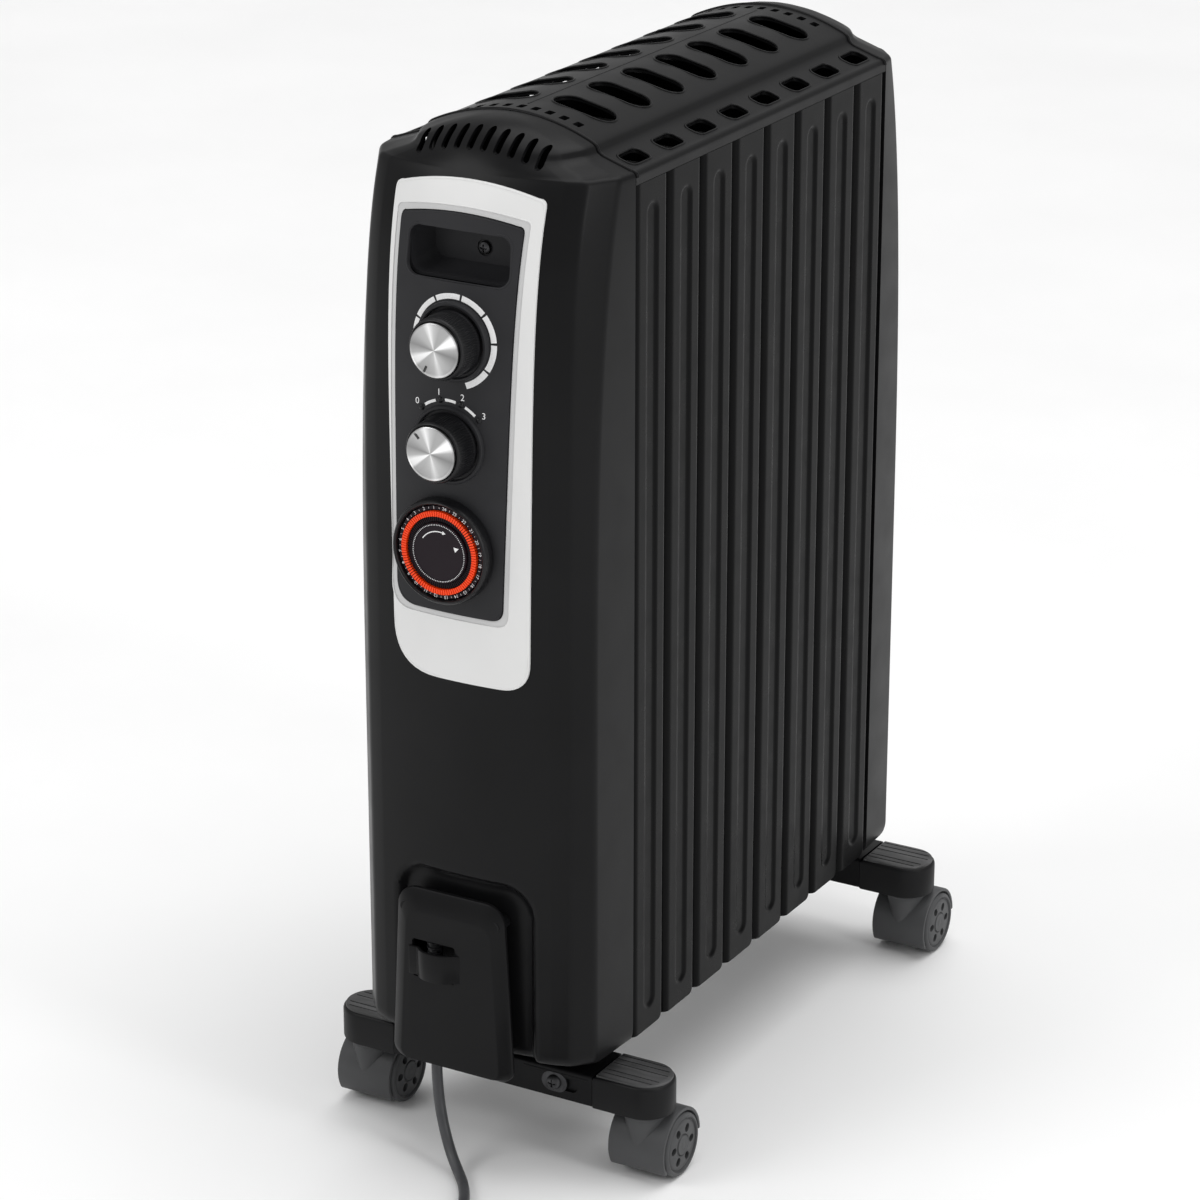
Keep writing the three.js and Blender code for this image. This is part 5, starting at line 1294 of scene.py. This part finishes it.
def spoke(outline, degrees, front, back):
    """A small prism on the timer's face, drawn at the top and turned clockwise."""
    piece = prism("spoke", outline, "Y", front, back)
    piece.data.transform(Matrix.Rotation(math.radians(degrees), 4, "Y"))
    piece.data.transform(shift(TIMER.x, 0, TIMER.z))
    return piece


def add_timer_dial():
    low, high = box("timer_dial")
    face = low.y
    profile = [
        (7.4, high.y), (29.1, high.y), (29.1, face + 0.4), (28.8, face), (26.9, face),
        (26.6, face + 1.1), (22.7, face + 1.1), (22.5, face + 0.3), (19.5, face + 0.3),
        (19.3, face + 0.9), (7.4, face + 0.9),
    ]
    dial = lathe("timer_ring_dial", profile, (TIMER.x, 0, TIMER.z), "Y", 96)
    rib = [(-0.28, 19.7), (0.28, 19.7), (0.34, 22.4), (-0.34, 22.4)]
    ribs = [spoke(rib, 360 * i / TAPPETS, face - 0.2, face + 0.6) for i in range(TAPPETS)]
    finish_piece(merge([dial, *ribs]), DIAL, "timer_ring", ["timer_dial"])
    front = box("timer_tappets")[0].y + 0.2
    shape = [(-0.5, 22.8), (0.5, 22.8), (0.6, 26.0), (-0.6, 26.0)]
    row = [spoke(shape, 360 * i / TAPPETS, front, face + 0.9) for i in range(TAPPETS)]
    tappets = merge(row)
    tappets.name = "timer_tappet_row"
    tidy(tappets)
    finish_piece(tappets, TAPPET, "timer_ring", ["timer_tappets"])
    marks = []
    for hour in range(1, 25):
        degrees = 7 - 15 * hour
        x, z = around(TIMER.x, TIMER.z, 27.85, degrees)
        marks.append(numeral(str(hour), x, z, 2.9, -math.radians(degrees), face - 0.05))
        tick = [(-0.1, 27.3), (0.1, 27.3), (0.1, 28.4), (-0.1, 28.4)]
        marks.append(spoke(tick, degrees + 7.5, face - 0.1, face + 0.2))
    row = merge(marks)
    row.name = "timer_numerals"
    finish_piece(row, INK, "timer_ring")


def add_timer_hub():
    low, high = box("timer_hub")
    face = low.y
    profile = [
        (0.01, high.y), (7, high.y), (7, face + 2.5), (19.0, face + 2.5), (19.0, face + 0.8),
        (18.7, face + 0.2), (18.2, face), (17.2, face), (16.9, face + 0.35), (0.01, face + 0.2),
    ]
    hub = lathe("timer_centre", profile, (TIMER.x, 0, TIMER.z), "Y", 80)
    finish_piece(hub, DIAL, replaces=["timer_hub"])
    dot = stadium(0, 17.7, 0.42, 0.7, 3)
    marks = [spoke(dot, 360 * i / TAPPETS, face - 0.08, face + 0.3) for i in range(TAPPETS)]
    marks.append(spoke([(-1.6, 11.6), (1.6, 11.6), (0, 14.8)], 70, face + 0.15, face + 0.5))
    sweep = [around(0, 0, 13.2, a) for a in range(-55, 16, 6)]
    outer = [around(0, 0, 13.8, a) for a in range(-55, 16, 6)]
    marks.append(spoke(sweep + outer[::-1], 0, face + 0.15, face + 0.5))
    tip = [(-1.1, 12.4), (1.1, 12.4), (1.1, 12.6), (0, 14.6), (-1.1, 12.6)]
    tip = [(v - 13.5, 13.5 + u) for u, v in tip]
    marks.append(spoke([(x + 1.0, z) for x, z in tip], 12, face + 0.15, face + 0.5))
    row = merge(marks)
    row.name = "timer_centre_marks"
    finish_piece(row, INK)


def add_pocket_screw():
    low, high = box("pocket_screw")
    x, _, z = middle("pocket_screw")
    profile = [(0.01, high.y), (2, high.y), (2, low.y + 2.2), (4, low.y + 2.2),
               (3.7, low.y + 0.9), (2.4, low.y + 0.1), (0.01, low.y)]
    screw = lathe("pocket_screw_head", profile, (x, 0, z), "Y", 28)
    boolean(screw, cross_cutters(x, low.y, z, 4.6), "DIFFERENCE")
    finish_piece(screw, DARK_STEEL, replaces=["pocket_screw"])


def cross_cutters(x, y, z, size):
    """Cutters for a cross recess that opens towards -Y."""
    w = size * 0.12
    h = size / 2
    return [
        block("cross", (x - h, y - 1, z - w), (x + h, y + 1.3, z + w)),
        block("cross", (x - w, y - 1, z - h), (x + w, y + 1.3, z + h)),
    ]


# ------------------------------------------------------------------ cover plate
def plate_outline(half, bottom, top, edge, upper, foot):
    """The plate's outline: inset by edge at the sides, upper at the top and foot at the bottom."""
    middle_x = middle("cord_plate").x
    wide, narrow = half - edge, half - 5 - edge
    b, t = bottom + foot, top - upper
    low, high = 9 - min(edge, 3), 14 - min(edge, 4)
    points = (
        arc(-wide + low, b + low, low, 185, 270, 8)
        + arc(wide - low, b + low, low, 270, 355, 8)
        + arc(narrow - high, t - high, high, -3, 90, 8)
        + arc(-narrow + high, t - high, high, 90, 183, 8)
    )
    return [(middle_x + x, z) for x, z in points]


def add_cover_plate():
    """A shallow tray: a flat face with sides that slope back, wide at the top."""
    low, high = box("cord_plate")
    face = low.y + 7  # the plate's own face, behind the clip's bulge
    half = (high.x - low.x) / 2
    rows = [
        (face, 8.5, 15.0, 2.5), (face + 0.15, 7.5, 13.6, 2.0), (face + 3.8, 0.9, 1.3, 0.5),
        (face + 4.4, 0.2, 0.3, 0.1), (face + 5.2, 0, 0, 0), (face + 6.4, 0, 0, 0),
        (face + 6.6, 0.6, 0.6, 0.6), (face + 6.6, 2.0, 2.0, 2.0), (face + 5.2, 2.6, 3.0, 2.4),
        (face + 2.6, 8.8, 15.0, 3.2),
    ]
    sections = []
    for y, edge, upper, foot in rows:
        outline = plate_outline(half, low.z, high.z, edge, upper, foot)
        sections.append([(x, y, z) for x, z in outline])
    plate = loft("cover_plate", sections, smooth_angle=30)
    x0, x1 = -33.0, 3.0
    z0, z1 = low.z + 62, low.z + 81
    slot = prism("slot", rounded(x0 + 2, x1 - 3, z0 - 1.5, z1 + 5, 2), "Y", face - 2, face + 5)
    boolean(plate, [slot], "DIFFERENCE")
    posts = []
    for x, z in ((-36.5, high.z - 14), (26.5, high.z - 14), (-12, FIN_BOTTOM + 16),
                 (26.5, FIN_BOTTOM + 16)):
        floor = SEAM - depth(FRONT, x, z) - 0.7
        profile = [(0.01, face + 2.3), (4, face + 2.3), (4.4, floor), (0.01, floor)]
        posts.append(lathe("post", profile, (x, 0, z), "Y", 24))
    finish_piece(merge([plate, clip(face, x0, x1, z0, z1), *posts]), SHELL,
                 replaces=["cord_plate"])


def clip(face, x0, x1, z0, z1):
    """The arched spring tongue: it grows out of the plate at its right end."""
    line = [(x0, face - 0.2), (x0 + 4, face - 0.3), (x0 + 7, face - 0.5), (x0 + 10, face - 3.2),
            (x0 + 14, face - 5.1), (x0 + 20, face - 5.7), (x0 + 26, face - 4.9),
            (x0 + 30, face - 2.8), (x0 + 33, face - 0.6), (x1, face + 0.9)]
    line = [(p.x, p.y) for p in smooth_route([(x, y, 0) for x, y in line], 4)]
    outer, inner = [], []
    for i, (x, y) in enumerate(line):
        a = Vector(line[max(i - 1, 0)])
        b = Vector(line[min(i + 1, len(line) - 1)])
        along = (b - a).normalized()
        normal = Vector((along.y, -along.x)) * 1.1
        outer.append((x + normal.x, y + normal.y))
        inner.append((x - normal.x, y - normal.y))
    tongue = prism("tongue", outer + inner[::-1], "Z", z0, z1)
    soften(tongue, 0.5, 2, 50)
    return tongue


# ------------------------------------------------------------------ feet
def add_foot_bar(end):
    node = f"{end}_foot_bar"
    low, high = box(node)
    y = (low.y + high.y) / 2
    facing = -1 if end == "front" else 1
    half_width = (high.y - low.y) / 2
    top = FIN_BOTTOM - 14
    length = high.x
    outer = [(-half_width, low.z), (-half_width, top - 2.5)]
    outer += arc(-half_width + 2.5, top - 2.5, 2.5, 180, 90, 5)
    outer += arc(half_width - 2.5, top - 2.5, 2.5, 90, 0, 5)
    outer += [(half_width, low.z)]
    lip = [(half_width - 1.8, low.z), (half_width - 1.8, top - 2.6)]
    lip += arc(half_width - 2.8, top - 2.8, 1.0, 0, 90, 3)
    lip += arc(-half_width + 2.8, top - 2.8, 1.0, 90, 180, 3)
    lip += [(-half_width + 1.8, low.z)]
    outline = [(y + u, v) for u, v in outer + lip]
    bar = prism("bar", outline, "X", -length, length)
    cutters = []
    mid = (low.z + top) / 2
    wall = y + facing * (half_width - 1)
    for side in (-1, 1):
        cutters.append(prism("slot", stadium(side * 50, mid, 26, 9), "Y", wall - 3, wall + 3))
    boolean(bar, cutters, "DIFFERENCE")
    extras = []
    for side in (-1, 1):
        x = side * 40
        extras.append(prism("pad", rounded(x - 12, x + 12, y - 8, y + 8, 3), "Z", top - 0.6,
                            high.z))
        bead = tube("bead", [(side * 24, wall, mid + 6.5), (side * (length - 3), wall, mid + 6.5)],
                    1.3, closed=False)
        extras.append(bead)
    finish_piece(merge([bar, *extras]), BAR, replaces=[node])


def add_foot_arm(end, hand):
    node = f"foot_arm_{end}_{hand}"
    low, high = box(node)
    side = 1 if hand == "right" else -1
    y = (low.y + high.y) / 2
    radius = (high.y - low.y) / 2
    inner = box(f"{end}_foot_bar")[1].x + GAP
    x_end = max(abs(low.x), abs(high.x))
    cx = x_end - radius

    def shape(inset):
        r = radius - inset
        return [(inner + inset, y - r)] + arc(cx, y, r, -90, 90, 24) + [(inner + inset, y + r)]

    top, bottom = high.z - 1.4, low.z
    sections = []
    for z, inset in ((bottom, 1.0), (bottom + 0.5, 0.3), (bottom + 1.4, 0), (top - 2.6, 0),
                     (top - 1.2, 0.35), (top - 0.4, 1.1), (top, 2.2)):
        sections.append([(x, v, z) for x, v in shape(inset)])
    arm = loft("arm", sections)
    socket = lathe("socket", [(0.01, bottom - 1), (5.3, bottom - 1), (5.3, bottom + 15),
                              (0.01, bottom + 15)], (cx, y, 0), "Z", 24)
    boolean(arm, [socket], "DIFFERENCE")
    tread = prism("tread", shape(1.7), "Z", top - 0.8, high.z - 0.2)
    soften(tread, 0.6, 2, 50)
    grooves = []
    for v in (-0.6, -0.34, 0.16, 0.46, 0.74):
        reach = cx + radius * (math.sqrt(1 - v * v) - 0.22)
        outline = stadium((inner + reach) / 2 + 1, y + v * radius, reach - inner - 3, 1.1, 4)
        grooves.append(prism("groove", outline, "Z", high.z - 0.85, high.z + 1))
    boolean(tread, grooves, "DIFFERENCE")
    tongue = block("tongue", (inner - 40, y - radius + 2.4, bottom + 2.2),
                   (inner + 1, y + radius - 2.4, top - 3))
    arm = merge([arm, tongue])
    if side < 0:
        for piece in (arm, tread):
            piece.data.transform(Matrix.Scale(-1, 4, (1, 0, 0)))
            piece.data.flip_normals()
    arm.name = f"arm_{end}_{hand}"
    tread.name = f"tread_{end}_{hand}"
    finish_piece(arm, ARM, replaces=[node])
    finish_piece(tread, TREAD)


def add_bar_screw(hand):
    node = f"bar_screw_{hand}"
    x, _, z = middle(node)
    plate = box(node)[0].y + 3.6  # front of the clamping flange
    flange = prism("flange", stadium(x, z, 18.2, 13.3, 12), "Y", plate, plate + 2)
    soften(flange, 0.8, 3)
    head = lathe("head", [(0.01, plate + 15), (3, plate + 15), (3, plate + 0.5), (4.9, plate + 0.5),
                 (4.9, plate - 0.9), (4.2, plate - 2.1), (2.8, plate - 3.0), (0.01, plate - 3.5)],
                 (x, 0, z), "Y", 32)
    boolean(head, cross_cutters(x, plate - 3.5, z, 5.2), "DIFFERENCE")
    finish_piece(merge([flange, head]), DARK_STEEL, replaces=[node]).name = node + "_set"


# ------------------------------------------------------------------ casters
def caster_hood(end, hand):
    """Shell over the twin wheels, with its middle web, swivel stem and pointed front shield."""
    node = f"caster_hood_{end}_{hand}"
    low, high = box(node)
    x = (low.x + high.x) / 2
    _, axle_y, axle_z = middle(f"wheel_{end}_{hand}_outer")
    stem_y = axle_y - 11
    half = (high.x - low.x) / 2 - 0.2
    inner, outer = 22.0, 24.4
    start, end_angle = 180 + 33, 2
    steps = 30
    angles = [math.radians(lerp(start, end_angle, i / steps)) for i in range(steps + 1)]
    ring = [(math.cos(a), math.sin(a)) for a in angles]
    outline = [(axle_y + outer * c, axle_z + outer * s) for c, s in ring]
    outline += [(axle_y + inner * c, axle_z + inner * s) for c, s in reversed(ring)]
    shell = prism("hood", outline, "X", x - half, x + half)
    soften(shell, 0.7, 2, 50)
    arch = [math.radians(a) for a in range(2, 214, 8)]
    shape = [(axle_y + 22.6 * math.cos(a), axle_z + 22.6 * math.sin(a)) for a in arch]
    shape += [(axle_y - 10, axle_z - 12.5), (axle_y + 3, axle_z - 6), (axle_y + 12, axle_z - 1)]
    web = prism("web", shape, "X", x - 2.9, x + 2.9)
    hole = [(0.01, -8), (2.8, -8), (2.8, 8), (0.01, 8)]
    bore = lathe("bore", hole, (x, axle_y, axle_z), "X", 20)
    boolean(web, [bore], "DIFFERENCE")
    top = box(f"foot_arm_{end}_{hand}")[0].z - 0.6
    profile = [(0.01, axle_z + 21), (11, axle_z + 21), (14.5, top - 2.4), (15, top - 1.2),
               (14.6, top), (5, top), (5, top + 13), (4.2, top + 14), (0.01, top + 14)]
    stem = lathe("stem", profile, (x, stem_y, 0), "Z", 40)
    shield = pointed_shield(x, stem_y, axle_y, axle_z, top, outer)
    hood = merge([shell, web, stem, shield])
    hood.name = f"hood_{end}_{hand}"
    finish_piece(hood, CASTER, f"caster_{end}_{hand}", [node])


def pointed_shield(x, stem_y, axle_y, axle_z, top, outer):
    """The half cone on the front of the hood, from the swivel down to a point."""
    tip = axle_z - 9
    tip_front = axle_y - math.sqrt(outer**2 - 81) - 0.2
    sections = []
    for i in range(9):
        t = i / 8
        radius = lerp(14.2, 0.3, t**1.15)
        centre = lerp(stem_y - 14.2, tip_front, t) + radius
        turn = [2 * math.pi * k / 36 for k in range(36)]
        z = lerp(top - 0.4, tip, t)
        ring = [(radius * math.cos(a), radius * math.sin(a)) for a in turn]
        sections.append([(x + u, centre + v, z) for u, v in ring])
    return loft("shield", sections)


def wheel_pattern():
    """One wheel about the X axis at the origin, its outer face towards +X."""
    profile = [
        (2.8, 0), (7, 0), (7, 1.5), (17.5, 1.5), (17.5, 0), (20.2, 0), (21, 0.9), (21, 13.6),
        (20.6, 14.9), (19.6, 15.7), (18.6, 15.9), (18.0, 15.5), (17.7, 14.7), (17.2, 14.4),
        (16.5, 14.9), (15.8, 15.3), (7.5, 15.5), (7.2, 15.1), (6.9, 14.8), (6.6, 15.2),
        (6.3, WHEEL_WIDTH), (2.8, WHEEL_WIDTH),
    ]
    wheel = lathe("wheel_pattern", profile, (0, 0, 0), "X", 72)
    holes = []
    for i in range(6):
        a = math.radians(60 * i + 30)
        hole = prism("hole", stadium(0, 0, 4.8, 5.8, 6), "X", 9.0, 18)
        hole.data.transform(shift(0, 0, 11.2))
        hole.data.transform(Matrix.Rotation(a, 4, "X"))
        holes.append(hole)
    boolean(wheel, holes, "DIFFERENCE")
    dome = [(0.01, 13), (6.3, 13), (6.3, 15.5), (5.7, 15.9), (0.01, WHEEL_WIDTH)]
    cap = lathe("cap", dome, (0, 0, 0), "X", 36)
    return merge([wheel, cap])


def add_casters():
    pattern = wheel_pattern()
    for end in ("front", "rear"):
        for hand in ("left", "right"):
            caster_hood(end, hand)
            for place in ("inner", "outer"):
                node = f"wheel_{end}_{hand}_{place}"
                low, high = box(node)
                centre = (low + high) / 2
                swivel = middle(f"caster_hood_{end}_{hand}").x
                facing = 1 if centre.x > swivel else -1
                start = low.x if facing > 0 else high.x
                turn = Matrix.Scale(facing, 4, (1, 0, 0))
                wheel = move_copy(pattern, f"{node}_disc", shift(start, centre.y, centre.z) @ turn)
                finish_piece(wheel, CASTER, node, [node])
    bpy.data.objects.remove(pattern)


# ------------------------------------------------------------------ kept CAD nodes
def dress_kept_nodes():
    kept = {
        DEVICE: ("thermostat", "selector_switch", "timer_movement", "tilt_switch", "terminal_block"),
        STEEL: ("thermal_cutout", "heating_element", "oil_filler_plug", "caster_axle_front_left",
                "caster_axle_front_right", "caster_axle_rear_left", "caster_axle_rear_right"),
        ENAMEL: ("fin_9",),
    }
    for material, names in kept.items():
        for name in names:
            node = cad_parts[name]
            if not node.material_slots:
                node.data.materials.append(material)
            for entry in node.material_slots:
                entry.material = material


add_camera()
add_lead()
add_studio()
add_front_housing()
add_rear_housing()
add_top_grille()
add_fins()
add_bezel()
add_panel()
add_panel_marks()
ribbed_knob("thermostat_knob_body", "thermostat_knob", "thermostat_control")
knob_cap("thermostat_cap", "thermostat_knob_cap", "thermostat_control", 207)
ribbed_knob("selector_knob_body", "selector_knob", "selector_control")
knob_cap("selector_cap", "selector_knob_cap", "selector_control", DETENTS[0])
add_timer()
add_pocket_screw()
add_cover_plate()
for bar_end in ("front", "rear"):
    add_foot_bar(bar_end)
    for arm_hand in ("left", "right"):
        add_foot_arm(bar_end, arm_hand)
for screw_hand in ("left", "right"):
    add_bar_screw(screw_hand)
add_casters()
dress_kept_nodes()
